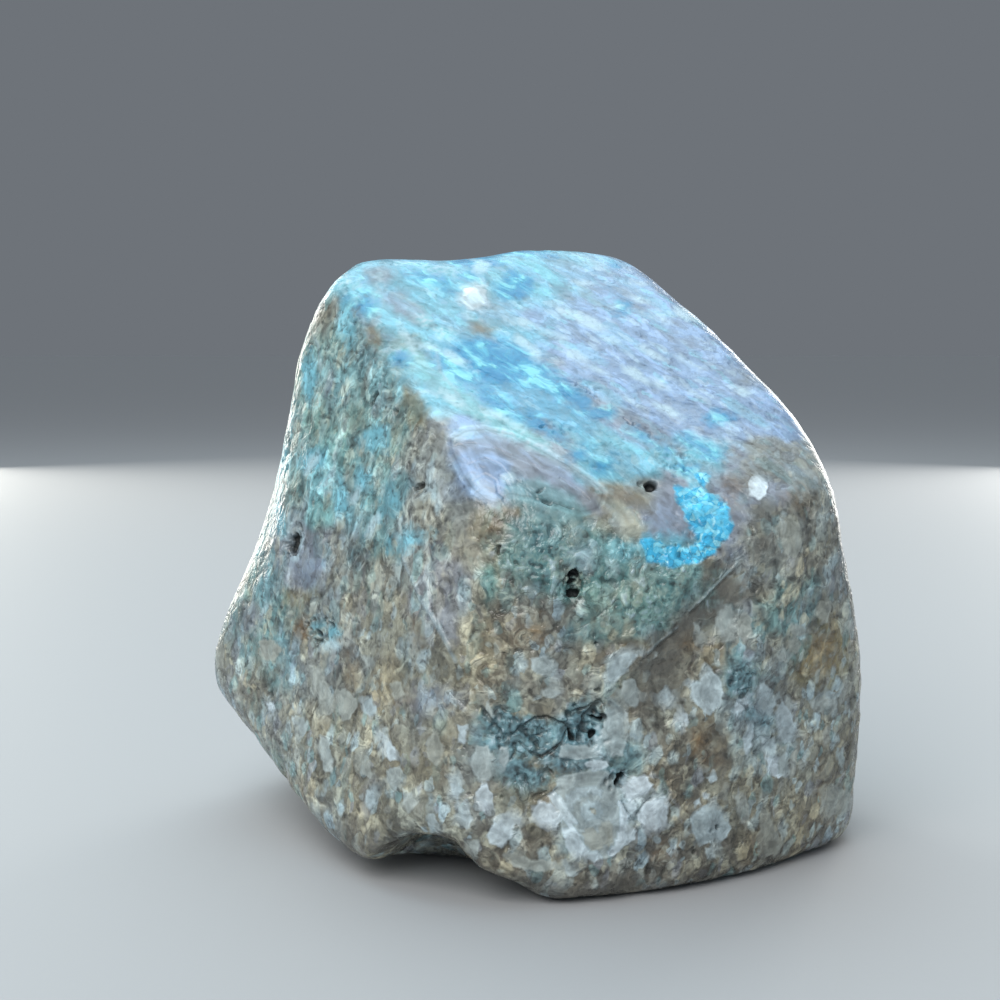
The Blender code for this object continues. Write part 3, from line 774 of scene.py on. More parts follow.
def direction(turn, tilt):
    """The unit vector at a turn round the stone, 0 at the front and 90 at the right, and a tilt up."""
    turn, tilt = math.radians(turn), math.radians(tilt)
    return Vector((math.sin(turn) * math.cos(tilt), -math.cos(turn) * math.cos(tilt), math.sin(tilt)))


def hit(surface, origin, toward):
    """Where a ray meets the stone, and the way the stone faces there."""
    place, normal, _, _ = surface.ray_cast(origin, toward)
    if place is None:
        raise RuntimeError(f"No stone lies along {tuple(toward)} from {tuple(origin)}")
    return place, normal


def seen_at(surface, x, y):
    """The place and facing of the stone at a pixel of the front view."""
    inward = (VIEW_HEART - Vector((x, y))).normalized()
    for nudge in NUDGES:
        toward = sight(x + inward.x * nudge, y + inward.y * nudge)
        place, normal, _, _ = surface.ray_cast(VIEW_PLACE, toward)
        if place is not None:
            return place, normal
    raise RuntimeError(f"No stone shows near {x}, {y}")


def pixel_at(place):
    """The width of a pixel of the front view where it meets the stone, in metres."""
    return (place - VIEW_PLACE).length / FOCAL


def tree_of(thing):
    """A search tree of a CAD node's mesh, merged in a copy."""
    shape = bmesh.new()
    shape.from_mesh(thing.data)
    bmesh.ops.remove_doubles(shape, verts=shape.verts, dist=0.01 * MM)
    tree = BVHTree.FromBMesh(shape)
    shape.free()
    return tree


def spot_of(surface, mark):
    """A mark's middle, its two half axes and its facing on the stone, from where it shows."""
    place, normal = seen_at(surface, mark.x, mark.y)
    longest = STRETCH * pixel_at(place)
    roll = math.radians(mark.roll)
    axes = []
    for right, down, reach in (
        (math.cos(roll), -math.sin(roll), mark.half_width),
        (math.sin(roll), math.cos(roll), mark.half_height),
    ):
        toward = sight(mark.x + right, mark.y + down)
        along = (place - VIEW_PLACE).dot(normal) / toward.dot(normal)
        axis = VIEW_PLACE + toward * along - place
        axis *= min(1, longest / axis.length) * reach
        axes.append(axis)
    return place, axes[0], axes[1], normal


def spot_at(surface, turn, tilt, half_width, half_height, roll):
    """The same for a mark given by its turn and tilt round the stone and its size in metres."""
    place, normal = hit(surface, MIDDLE, direction(turn, tilt))
    side = normal.cross(Vector((0, 0, 1)))
    if side.length < 0.05:
        side = Vector((1, 0, 0))
    side.normalize()
    up = side.cross(normal)
    c, s = math.cos(math.radians(roll)), math.sin(math.radians(roll))
    return place, (side * c + up * s) * half_width, (up * c - side * s) * half_height, normal


def inside_spot(points, spot, sides=0):
    """How far inside a mark each point is, in metres, and below zero outside it.

    A mark is an ellipse, or with sides a broken fragment whose uneven straight sides bound it.
    """
    place, wide, high, normal = (np.array(part) for part in spot)
    reach = max(np.linalg.norm(wide), np.linalg.norm(high))
    frame_of_mark = np.array((wide, high, normal * reach)).T
    local = (points - place) @ np.linalg.inv(frame_of_mark).T
    out = np.linalg.norm(local, axis=1)
    if sides:
        chance = random.Random(int(1e6 * place.sum()))
        edge = np.abs(local[:, 2])
        for side in range(sides):
            angle = math.tau * (side + chance.uniform(-0.3, 0.3)) / sides
            across = local[:, 0] * math.cos(angle) + local[:, 1] * math.sin(angle)
            edge = np.maximum(edge, across / chance.uniform(0.72, 1.0))
        out = 0.3 * out + 0.7 * edge
    return (1 - out) * min(np.linalg.norm(wide), np.linalg.norm(high))


def front_view(points, normals):
    """Where each point shows in the front view, in pixels, and whether it faces that way."""
    pitch = math.radians(VIEW_PITCH)
    offset = points - np.array(VIEW_PLACE)
    away = offset[:, 1] * math.cos(pitch) - offset[:, 2] * math.sin(pitch)
    up = offset[:, 1] * math.sin(pitch) + offset[:, 2] * math.cos(pitch)
    shown = np.stack([offset[:, 0], -up], axis=1) * FOCAL / away[:, None] + VIEW_SIDE / 2
    return shown, (offset * normals).sum(axis=1) < 0


def corners_of(drawn):
    """The corners of an outline, or the bends of a seam, as pairs of numbers."""
    return [tuple(map(float, pair.split(","))) for pair in drawn.split()]


def inside_outline(shown, drawn):
    """How far inside an outline each place in the front view is, in pixels, below zero outside it."""
    corners = np.array(corners_of(drawn))
    nearest = np.full(len(shown), np.inf)
    inside = np.zeros(len(shown), bool)
    for start, end in zip(corners, np.roll(corners, -1, axis=0)):
        run = end - start
        share = np.clip((shown - start) @ run / (run @ run), 0, 1)
        nearest = np.minimum(nearest, np.linalg.norm(shown - start - share[:, None] * run, axis=1))
        crossed = (start[1] > shown[:, 1]) != (end[1] > shown[:, 1])
        if run[1]:
            inside ^= crossed & (shown[:, 0] < start[0] + (shown[:, 1] - start[1]) * run[0] / run[1])
    return np.where(inside, nearest, -nearest)


def inside_line(points, line):
    """How far inside a line of some half width each point is, in metres."""
    nearest = np.full(len(points), np.inf)
    for start, end in zip(line.places, line.places[1:]):
        start, run = np.array(start), np.array(end - start)
        share = np.clip((points - start) @ run / (run @ run), 0, 1)
        nearest = np.minimum(nearest, np.linalg.norm(points - start - share[:, None] * run, axis=1))
    return line.half_width - nearest


def ease(value, low, high):
    """A smooth step from 0 at low to 1 at high."""
    t = np.clip((value - low) / (high - low), 0, 1)
    return t * t * (3 - 2 * t)


def grain(points, size, seed, along=None, stretch=1.0):
    """Even noise between about -1 and 1, with lumps of this size in metres, drawn out along a way."""
    if along is not None:
        way = np.array(Vector(along).normalized())
        points = points + np.outer(points @ way, way) * (1 / stretch - 1)
    shift = Vector((seed * 7.31, seed * 3.17, seed * 5.93))
    return np.array([noise.noise(Vector(point) / size + shift) for point in points])


def worn_in(inside, ragged, edge):
    """A smooth step across a mark's ragged edge, from how far inside it each point is."""
    return ease(inside + edge.ragged * ragged, edge.start, edge.full)


def waves(points, name):
    """The sum of the waves that go by a name."""
    return sum(
        wave.share * grain(points, wave.size_mm * MM, wave.seed, wave.along, wave.stretch)
        for wave in WAVES[name]
    )


def rough_shape(surface, settings):
    """A cube spread evenly into a ball, laid on the frame's stone and worn smooth."""
    shape = bmesh.new()
    bmesh.ops.create_cube(shape, size=2)
    bmesh.ops.subdivide_edges(shape, edges=shape.edges, cuts=settings.squares - 1, use_grid_fill=True)
    for vertex in shape.verts:
        spread = Vector([math.tan(part * math.pi / 4) for part in vertex.co]).normalized()
        vertex.co = hit(surface, MIDDLE, spread)[0]
    once = []
    for _ in range(2):
        for _ in range(settings.smoothing):
            bmesh.ops.smooth_vert(
                shape, verts=shape.verts, factor=0.5, use_axis_x=True, use_axis_y=True, use_axis_z=True
            )
        once = once or [vertex.co.copy() for vertex in shape.verts]
    for vertex, place in zip(shape.verts, once):
        vertex.co = 2 * place - vertex.co  # gives back what smoothing took off the broad form
        vertex.co.z = max(vertex.co.z, 0)
    return shape


def divide_near(shape, spots, lines, outlines=()):
    """Divide the surface once more in and round these marks, seams and outlines."""
    points = np.array([vertex.co for vertex in shape.verts])
    near = np.zeros(len(points), bool)
    for spot in spots:
        near |= inside_spot(points, spot) > -FINE_MARGIN
    for line in lines:
        near |= inside_line(points, line) > -FINE_MARGIN
    shape.normal_update()
    shown, facing = front_view(points, np.array([vertex.normal for vertex in shape.verts]))
    for outline in outlines:
        near |= facing & (inside_outline(shown, outline.points) > -OUTLINE_MARGIN)
    shape.verts.index_update()
    edges = [edge for edge in shape.edges if near[edge.verts[0].index] and near[edge.verts[1].index]]
    bmesh.ops.subdivide_edges(shape, edges=edges, cuts=1, use_grid_fill=True)


def scattered(surface, chance, kind):
    """Marks of one kind for the sides that the front view doesn't show."""
    spots = []
    for _ in range(kind.count):
        turn = chance.uniform(*FAR_SIDE)
        tilt = chance.uniform(kind.lowest, kind.highest)
        wide = chance.uniform(kind.smallest_mm, kind.largest_mm) * MM / 2
        high = wide * chance.uniform(kind.flattest, 1.0)
        spots.append(spot_at(surface, turn, tilt, wide, high, chance.uniform(-90, 90)))
    return spots


def line_of(surface, crack):
    """A seam or a vein on the stone, from where it shows."""
    places = [seen_at(surface, x, y)[0] for x, y in corners_of(crack.points)]
    return Line(places, crack.half_width * pixel_at(places[0]), crack.depth_mm * MM)


def far_seam(surface, chance):
    """A short wandering seam on a side that the front view doesn't show."""
    turn, tilt, heading = chance.uniform(95, 265), chance.uniform(-35, 50), chance.uniform(0, 360)
    places = []
    for _ in range(FAR_SEAM_BENDS):
        places.append(hit(surface, MIDDLE, direction(turn, tilt))[0])
        heading += chance.uniform(-40, 40)
        turn += FAR_SEAM_STEP * math.cos(math.radians(heading))
        tilt += FAR_SEAM_STEP * math.sin(math.radians(heading))
    return Line(places, FAR_SEAM, FAR_SEAM)


def features_of(surface):
    """Where every pit, seam, vein, mineral and rough place lies on the stone."""
    chance = random.Random(29)
    pits = [(spot_of(surface, pit), pit.depth_mm * MM) for pit in PITS]
    for spot in scattered(surface, chance, FAR_PITS):
        pits.append((spot, chance.uniform(0.25, 0.8) * MM))
    seams = [line_of(surface, crack) for crack in CRACKS]
    seams += [far_seam(surface, chance) for _ in range(FAR_SEAMS)]
    veins = [line_of(surface, crack) for crack in VEINS_AND_RIDGE_HIGHLIGHT]
    minerals = {
        name: [spot_of(surface, mark) for mark in MARKS[name]] + scattered(surface, chance, kind)
        for name, kind in SCATTER.items()
    }
    rough = [(spot_of(surface, mark), mark.lump_mm, mark.depth_mm * MM) for mark in ROUGH]
    for number, spot in enumerate(scattered(surface, chance, FAR_ROUGH)):
        rough.append((spot, LUMPS_MM[number % 3], chance.uniform(0.1, 0.4) * MM))
    return Features(pits, seams, veins, minerals, rough)


def divided(shape, features):
    """The shape's mesh, with smaller triangles wherever its relief is fine."""
    lines = features.seams + features.veins
    pits = [spot for spot, _ in features.pits]
    rough = [spot for spot, _, _ in features.rough]
    deep = [spot for spot, _, depth in features.rough if depth > DEEP_ROUGH]
    divide_near(shape, pits + rough, lines, CLASTS + CRUSTS + LENSES)
    divide_near(shape, pits + deep, lines)
    bmesh.ops.triangulate(shape, faces=shape.faces)
    bmesh.ops.recalc_face_normals(shape, faces=shape.faces)
    if len(shape.faces) > LARGEST:
        raise RuntimeError(f"The stone has {len(shape.faces)} triangles")
    mesh = bpy.data.meshes.new(DRESSED)
    shape.to_mesh(mesh)
    shape.free()
    return mesh


def best(points, spots, lines=(), sides=0):
    """How far inside the nearest of several marks and lines each point is, in millimetres."""
    most = np.full(len(points), NOWHERE)
    for spot in spots:
        most = np.maximum(most, inside_spot(points, spot, sides) / MM)
    for line in lines:
        most = np.maximum(most, inside_line(points, line) / MM)
    return most


def lay_outlines(kept, points, spots, shown, facing):
    """Keep how far inside a clast, a crust or the lens each point is, and how white the clast is.

    Each outline lies over those before it. Bulk is how far inside any clast at all a point is.
    """
    kept["milk"] = np.zeros(len(points))
    kept["bulk"] = kept["pale"].copy()
    for number, spot in enumerate(spots):
        inside = inside_spot(points, spot, CLAST_SIDES) / MM
        whiteness = (number * 0.37) % 0.8  # a different one for each neighbour
        kept["milk"] = np.where(inside >= kept["pale"], whiteness, kept["milk"])
    kept["lens"] = np.full(len(points), NOWHERE)
    for name, outlines in (("pale", CLASTS), ("vivid", CRUSTS), ("lens", LENSES)):
        for outline in outlines:
            inside = np.where(facing, inside_outline(shown, outline.points) * PIXEL_MM, NOWHERE)
            on_top = (inside > 0) | (inside > kept[name])
            kept[name] = np.where(on_top, inside, kept[name])
            if name == "pale":
                kept["milk"] = np.where(on_top, outline.milk, kept["milk"])
                kept["bulk"] = np.maximum(kept["bulk"], inside)


def zones_over(points, surface, settings):
    """The ground colour of each point, and how much breccia and banding it has."""
    wandered = points
    for size_mm, far_mm, seeds in DRIFTS:
        drift = np.stack([grain(points, size_mm * MM, seed) for seed in seeds], axis=1)
        wandered = wandered + drift * far_mm * MM
    total = np.full(len(points), 1e-9)
    blend = np.zeros((len(points), 6))
    for zone in (*ZONES, *FAR_ZONES):
        if isinstance(zone, Zone):
            place, _ = seen_at(surface, zone.x, zone.y)
            reach = zone.reach * pixel_at(place)
        else:
            place, _ = hit(surface, MIDDLE, direction(zone.turn, zone.tilt))
            reach = zone.reach_mm * MM
        apart = np.linalg.norm(wandered - np.array(place), axis=1)
        weight = np.exp(-((apart / (ZONE_SPREAD * reach)) ** 2)) + 1e-7 / (1 + apart / reach)
        colour = getattr(settings, zone.colour)
        blend += weight[:, None] * np.array((*colour, zone.breccia, zone.streaks))
        total += weight
    blend /= total[:, None]
    return blend[:, :4], blend[:, 4], blend[:, 5]


def lay_panels(colour, shown, facing, ragged, settings):
    """Lay the patches of one colour over the ground, and say how calm each makes it."""
    calm = np.zeros(len(colour))
    for panel in PANELS:
        inside = worn_in(inside_outline(shown, panel.points), ragged, PATCH_EDGE)
        share = PATCH_SHARE * facing * inside
        colour += share[:, None] * (np.array(getattr(settings, panel.colour)) - colour)
        calm += share * (panel.calm - calm)
    return calm


def depth_of(points, ragged, features):
    """How deep the pits, the seams and the crumbly places cut at each point, in metres."""
    deepest = np.zeros(len(points))
    for spot, depth in features.pits:
        inside = inside_spot(points, spot) / min(spot[1].length, spot[2].length)
        deepest = np.maximum(deepest, depth * worn_in(inside, ragged, PIT_EDGE))
    for seam in features.seams:
        inside = inside_line(points, seam) / seam.half_width
        deepest = np.maximum(deepest, seam.depth * worn_in(inside, ragged, SEAM_EDGE))
    for size in LUMPS_MM:
        crumbs = grain(points, size * MM, 17) + 0.6 * grain(points, 0.5 * size * MM, 18)
        for spot, lump, depth in features.rough:
            if lump == size:
                inside = worn_in(inside_spot(points, spot) / MM, crumbs, ROUGH_EDGE)
                deepest = np.maximum(deepest, depth * inside * ease(crumbs, 0.0, 0.6))
    return deepest


def height_of(points, ragged, features, kept, streaks, relief):
    """How far the low waves, the veins and the clasts stand proud at each point, in metres."""
    roof = kept["roof"]
    height = relief * (
        (1 - roof) * streaks * 1.6 * waves(points, "fluted")
        + roof * waves(points, "banded")
        + (1 - roof) * (1 - streaks) * waves(points, "lumpy")
    ) * (1 - CALMED * kept["calm"])
    for vein in features.veins:
        inside = inside_line(points, vein) / vein.half_width
        height -= vein.depth * worn_in(inside, ragged, VEIN_EDGE)
    rim = np.exp(-(((kept["pale"] + RIM_RAGGED * ragged) / RIM_MM) ** 2))
    return height + CLAST_RISE * ease(kept["bulk"], 0, CLAST_SHOULDER_MM) - RIM_DIP * rim


def worn_stone(surface, settings):
    """The stone's mesh, with its relief and what lies where on it."""
    shape = rough_shape(surface, settings)
    smooth = BVHTree.FromBMesh(shape)
    features = features_of(smooth)
    mesh = divided(shape, features)
    points = np.zeros(len(mesh.vertices) * 3)
    mesh.vertices.foreach_get("co", points)
    points = points.reshape(-1, 3)
    normals = np.array([normal.vector for normal in mesh.vertex_normals])

    # What lies where: how far inside each mineral a point is, and the colour of its ground.
    ragged = waves(points, "ragged")
    kept = {
        name: best(points, spots, sides=CLAST_SIDES if name == "pale" else 0)
        for name, spots in features.minerals.items()
    }
    shown, facing = front_view(points, normals)
    lay_outlines(kept, points, features.minerals["pale"], shown, facing)
    kept["vein"] = best(points, (), features.veins)
    colour, breccia, streaks = zones_over(points, smooth, settings)
    kept["calm"] = lay_panels(colour, shown, facing, ragged, settings)
    kept["breccia"], kept["streaks"] = breccia * (1 - kept["calm"]), streaks * (1 - kept["calm"])
    kept["roof"] = ease(normals[:, 2], *ROOF_SLOPE)

    # The relief, which fades out near the flat that the stone stands on.
    deepest = depth_of(points, ragged, features)
    height = height_of(points, ragged, features, kept, streaks, settings.relief) - deepest
    points = points + normals * (height * ease(points[:, 2], *FLAT_FADE))[:, None]
    points = np.clip(points, *(np.array(corner) for corner in CAD_BOX))
    mesh.vertices.foreach_set("co", points.ravel())

    kept["shade"] = 0.5 + waves(points, "shade")
    kept["warmth"] = 0.5 + waves(points, "warmth")
    kept["depth"] = deepest / MM
    for name in KEPT:
        mesh.attributes.new(name, "FLOAT", "POINT").data.foreach_set("value", kept[name])
    mesh.attributes.new("ground", "FLOAT_COLOR", "POINT").data.foreach_set("color", colour.ravel())
    mesh.shade_smooth()
    mesh.update()
    return mesh


def add(tree, kind, inputs, **settings):
    """Add a shader node with its settings, and give its inputs a value or another node's first output."""
    node = tree.nodes.new("ShaderNode" + kind)
    for name, value in settings.items():
        setattr(node, name, value)
    for name, value in inputs.items():
        if isinstance(name, int):
            socket = node.inputs[name]
        else:
            socket = next(socket for socket in node.inputs if socket.enabled and socket.name == name)
        if isinstance(value, bpy.types.Node):
            value = next(out for out in value.outputs if out.enabled)
        if isinstance(value, bpy.types.NodeSocket):
            tree.links.new(value, socket)
        else:
            socket.default_value = value
    return node


def set_stops(ramp, stops, interpolation="LINEAR"):
    """Give a colour ramp its stops."""
    elements = ramp.color_ramp.elements
    ramp.color_ramp.interpolation = interpolation
    elements[0].position, elements[0].color = stops[0]
    elements[1].position, elements[1].color = stops[-1]
    for position, colour in stops[1:-1]:
        elements.new(position).color = colour


def run_through(tree, name, share, settings):
    """The colours that a mineral runs through with share."""
    ramp = add(tree, "ValToRGB", {"Fac": share})
    set_stops(ramp, [
        (position, linear(SHADES[hue]) if hue in SHADES else getattr(settings, hue))
        for position, hue in RAMPS[name]
    ])
    return ramp


def toned(tree, colour, share, name):
    """A colour scaled by a tone that runs from its least to its most with share."""
    least, most = TONES[name]
    tone = add(tree, "MapRange", {"Value": share, "To Min": least, "To Max": most})
    return add(tree, "VectorMath", {0: colour, "Scale": tone}, operation="SCALE")


def lay_over(tree, at, under, over, name):
    """Lay a mineral over another wherever how far inside it a point is, made to wander, is above zero."""
    lay = LAYS[name]
    moved = add(tree, "Math", {0: at["edge"], 1: lay.wander, 2: at[name]}, operation="MULTIPLY_ADD")
    share = add(
        tree, "MapRange",
        {"Value": moved, "From Min": -lay.softness, "From Max": lay.softness, "To Max": lay.strength},
    )
    return add(tree, "Mix", {"Factor": share, "A": under, "B": over}, data_type="RGBA")


def line_at(tree, field, level, reach):
    """A thin line where a noise field crosses a level: 1 on it, 0 off it."""
    off = add(tree, "Math", {0: field, 1: level}, operation="SUBTRACT")
    off = add(tree, "Math", {0: off}, operation="ABSOLUTE")
    return add(tree, "MapRange", {"Value": off, "From Max": reach, "To Min": 1.0, "To Max": 0.0})


def figured(tree, at):
    """Noise drawn out up the left face and down the roof, and even everywhere else."""
    found = None
    for weight, turn, stretch, curl in (
        (None, UPRIGHT, (1.0, 1.0, 1.0), 0.7),
        (at["left"], UPRIGHT, (1.6, 0.9, 0.9), 0.9),
        (at["roof"], ROOF_GRAIN, (1.6, 0.8, 0.8), 0.5),
    ):
        inputs = {"Vector": at["place"], "Rotation": turn, "Scale": stretch}
        laid = add(tree, "Mapping", inputs, vector_type="TEXTURE")
        drawn = add(
            tree, "TexNoise",
            {"Vector": laid, "Scale": 1 / FIGURE_MM, "Detail": 2.5, "Roughness": 0.55, "Distortion": curl},
        )
        if found is None:
            found = drawn
        else:
            found = add(tree, "Mix", {"Factor": weight, "A": found, "B": drawn}, data_type="FLOAT")
    return found


def noises_over(tree):
    """What the mesh keeps at each point, and the noises that every mineral follows, sized in millimetres."""
    at = {name: add(tree, "Attribute", {}, attribute_name=name).outputs["Fac"] for name in KEPT}
    at["ground"] = add(tree, "Attribute", {}, attribute_name="ground").outputs["Color"]
    place = add(tree, "TexCoord", {}).outputs["Object"]
    at["place"] = add(tree, "VectorMath", {0: place, "Scale": 1 / MM}, operation="SCALE")
    at["off_roof"] = add(tree, "Math", {0: 1.0, 1: at["roof"]}, operation="SUBTRACT")
    for name, where in (("left", at["off_roof"]), ("roof_bands", at["roof"])):
        at[name] = add(tree, "Math", {0: where, 1: at["streaks"]}, operation="MULTIPLY")

    # A figure that follows the banding, a fine grit, a broad swing, and crumbs about a millimetre wide.
    at["figure"] = figured(tree, at)
    for name, size_mm, detail, curl in (
        ("grit", GRIT_MM, 1.5, 0.0), ("swing", SWING_MM, 2.0, 0.0), ("crumb", CRUMB_MM, 2.0, 1.0)
    ):
        inputs = {"Vector": at["place"], "Scale": 1 / size_mm, "Detail": detail, "Distortion": curl}
        at[name] = add(tree, "TexNoise", inputs)
    at["clouds"] = add(tree, "MapRange", {"Value": at["figure"], "From Min": 0.38, "From Max": 0.62})
    at["specks"] = add(tree, "MapRange", {"Value": at["grit"], "From Min": 0.32, "From Max": 0.68})
    mottle = add(tree, "Math", {0: at["specks"], 1: at["clouds"]}, operation="ADD")
    at["mottle"] = add(tree, "Math", {0: mottle, 1: 0.5}, operation="MULTIPLY")

    # Fragments keep angular but uneven outlines, as their lattice is pushed about a little.
    at["torn"] = at["place"]
    for name, reach in (("swing", 1.5), ("grit", 0.45)):
        at["torn"] = add(
            tree, "VectorMath",
            {0: at[name].outputs["Color"], 1: (reach, reach, reach), 2: at["torn"]},
            operation="MULTIPLY_ADD",
        )

    # How far the edges between minerals wander: a broad swing and a share of the fine one.
    both = add(tree, "Math", {0: at["grit"], 1: FINE_SHARE, 2: at["swing"]}, operation="MULTIPLY_ADD")
    even = add(tree, "Math", {0: both, 1: (1 + FINE_SHARE) / 2}, operation="SUBTRACT")
    at["edge"] = add(tree, "Math", {0: even, 1: 3.0}, operation="MULTIPLY")
    return at


def fragments(tree, place, layer):
    """Fragments of about one size: how much of one lies here, its rim, its kind and its tone."""
    turn = ROOF_GRAIN if layer.weight == "roof_bands" else UPRIGHT
    inputs = {"Vector": place, "Location": layer.shift, "Scale": layer.stretch, "Rotation": turn}
    laid = add(tree, "Mapping", inputs, vector_type="TEXTURE")
    cell = add(tree, "TexVoronoi", {"Vector": laid, "Scale": 1 / layer.size_mm, "Randomness": 0.95})
    away = cell.outputs["Distance"]
    kind = add(tree, "SeparateColor", {"Color": cell.outputs["Color"]})
    chosen = add(tree, "Math", {0: kind.outputs["Green"], 1: layer.share}, operation="LESS_THAN")
    span = {"From Min": layer.edge + 0.06, "From Max": layer.edge - 0.18}
    solid = add(tree, "MapRange", {"Value": away, **span})
    inside = add(tree, "Math", {0: chosen, 1: solid}, operation="MULTIPLY")
    rim = add(tree, "ValToRGB", {"Fac": away})
    set_stops(rim, [(layer.edge + far, (tone, tone, tone, 1.0)) for far, tone in RIM])
    rim = add(tree, "Math", {0: rim, 1: 0.5}, operation="SUBTRACT")
    rim = add(tree, "Math", {0: rim, 1: chosen}, operation="MULTIPLY")
    return inside, rim, kind.outputs["Red"], kind.outputs["Blue"]


def lay_fragments(tree, at, settings):
    """The ground, mottled, then its fragments layer by layer. The roof's are fainter than the rest."""
    colour = toned(tree, at["ground"], at["clouds"], "ground")
    for layer in LAYERS:
        inside, rim, kind, shade = fragments(tree, at["torn"], layer)
        hues = layer.colours.split()
        ramp = add(tree, "ValToRGB", {"Fac": kind})
        stops = [(number / len(hues), getattr(settings, hue)) for number, hue in enumerate(hues)]
        set_stops(ramp, stops, "CONSTANT")
        tone = add(tree, "Math", {0: shade, 1: at["clouds"]}, operation="ADD")
        fragment = toned(tree, ramp, tone, "fragment")
        weight = add(tree, "Math", {0: at[layer.weight], 1: layer.strength}, operation="MULTIPLY")
        amount = add(tree, "Math", {0: inside, 1: weight}, operation="MULTIPLY")
        mixed = add(tree, "Mix", {"Factor": amount, "A": colour, "B": fragment}, data_type="RGBA")
        rim = add(tree, "Math", {0: rim, 1: weight}, operation="MULTIPLY")
        rim = add(tree, "Math", {0: rim, 1: 2.0, 2: 1.0}, operation="MULTIPLY_ADD")
        colour = add(tree, "VectorMath", {0: mixed, "Scale": rim}, operation="SCALE")
    fainter = add(tree, "Math", {0: at["roof"], 1: 0.28}, operation="MULTIPLY")
    return add(tree, "Mix", {"Factor": fainter, "A": colour, "B": at["ground"]}, data_type="RGBA")


def crumble(tree, at, colour, settings):
    """Pale crumbs and dark gaps break up all but the roof and the calm patches."""
    broken = add(tree, "MapRange", {"Value": at["calm"], "To Min": 1.0, "To Max": 0.15})
    broken = add(tree, "Math", {0: broken, 1: at["off_roof"]}, operation="MULTIPLY")
    span = {"From Min": 0.40, "From Max": 0.60, "To Min": 0.45}
    patchy = add(tree, "MapRange", {"Value": at["swing"], **span})
    broken = add(tree, "Math", {0: broken, 1: patchy}, operation="MULTIPLY")
    span = {"From Min": 0.50, "From Max": 0.62, "To Max": 0.82}
    pale = add(tree, "MapRange", {"Value": at["crumb"], **span})
    pale = add(tree, "Math", {0: pale, 1: broken}, operation="MULTIPLY")
    inputs = {0: colour, 1: (1.2, 1.2, 1.2), 2: settings.crumb[:3]}
    paler = add(tree, "VectorMath", inputs, operation="MULTIPLY_ADD")
    colour = add(tree, "Mix", {"Factor": pale, "A": colour, "B": paler}, data_type="RGBA")
    span = {"From Min": 0.36, "From Max": 0.46, "To Min": 1.0, "To Max": 0.0}
    gap = add(tree, "MapRange", {"Value": at["crumb"], **span})
    gap = add(tree, "Math", {0: gap, 1: broken}, operation="MULTIPLY")
    return toned(tree, colour, gap, "gap")


def vary(tree, at, colour):
    """Slow patches, lighter and darker, warmer and colder, off the roof."""
    inputs = {"Factor": at["warmth"], "A": linear(SHADES["cold"]), "B": linear(SHADES["warm"])}
    cast = add(tree, "Mix", inputs, data_type="RGBA")
    cast = toned(tree, cast, at["shade"], "patch")
    cast = add(tree, "Mix", {"Factor": at["off_roof"], "A": (1, 1, 1, 1), "B": cast}, data_type="RGBA")
    return add(tree, "VectorMath", {0: colour, 1: cast}, operation="MULTIPLY")


def lay_grounds(tree, at, colour, settings):
    """Smooth matrix and lavender bands, the teal ground, the vug's lining and iron stains. The matrix also
    lays painted shade along the bottom edge and, partly, under the diagonal ridge.
    """
    matrix = toned(tree, settings.matrix[:3], at["clouds"], "matrix")
    # The matrix here includes painted shade along the bottom edge and under the diagonal ridge.
    colour = lay_over(tree, at, colour, matrix, "matrix")
    inputs = {"Factor": at["clouds"], "A": settings.lavender_grey, "B": settings.lavender}
    band = add(tree, "Mix", inputs, data_type="RGBA")
    colour = lay_over(tree, at, colour, band, "lavender")
    for name in ("teal", "vug"):
        colour = lay_over(tree, at, colour, run_through(tree, name, at["mottle"], settings), name)
    stain = toned(tree, settings.rust[:3], at["mottle"], "stain")
    return lay_over(tree, at, colour, stain, "rust")


def lay_blues(tree, at, colour, settings):
    """Pale turquoise veins, azure mineral that is a dull patina off the roof, and the vivid crust."""
    inputs = {"Factor": at["specks"], "A": settings.turquoise, "B": settings.frost}
    veined = add(tree, "Mix", inputs, data_type="RGBA")
    colour = lay_over(tree, at, colour, veined, "turquoise")
    patina = toned(tree, linear(SHADES["patina"])[:3], at["clouds"], "patina")
    azure = run_through(tree, "blue", at["clouds"], settings)
    azure = add(tree, "Mix", {"Factor": at["roof"], "A": patina, "B": azure}, data_type="RGBA")
    colour = lay_over(tree, at, colour, azure, "blue")
    grains = add(tree, "TexVoronoi", {"Vector": at["torn"], "Scale": 1 / CRUST_MM, "Randomness": 1.0})
    kind = add(tree, "SeparateColor", {"Color": grains.outputs["Color"]})
    crust = run_through(tree, "vivid", kind.outputs["Red"], settings)
    crust = toned(tree, crust, grains.outputs["Distance"], "crust grain")
    crust = toned(tree, crust, at["clouds"], "crust")
    return lay_over(tree, at, colour, crust, "vivid")


def band_lens(tree, at, colour):
    """The lens: a pale rim, a dark line within it, then soft bands."""
    inputs = {0: at["edge"], 1: LENS_WANDER, 2: at["lens"]}
    lens = add(tree, "Math", inputs, operation="MULTIPLY_ADD")
    for name, level, reach in LENS_LINES:
        colour = toned(tree, colour, line_at(tree, lens, level, reach), name)
    bands = add(tree, "Math", {0: lens, 1: LENS_BANDS}, operation="MULTIPLY")
    bands = add(tree, "Math", {0: bands}, operation="SINE")
    within = add(tree, "MapRange", {"Value": lens, "From Min": 0.4, "From Max": 0.9})
    bands = add(tree, "Math", {0: bands, 1: within}, operation="MULTIPLY")
    return toned(tree, colour, bands, "lens band")


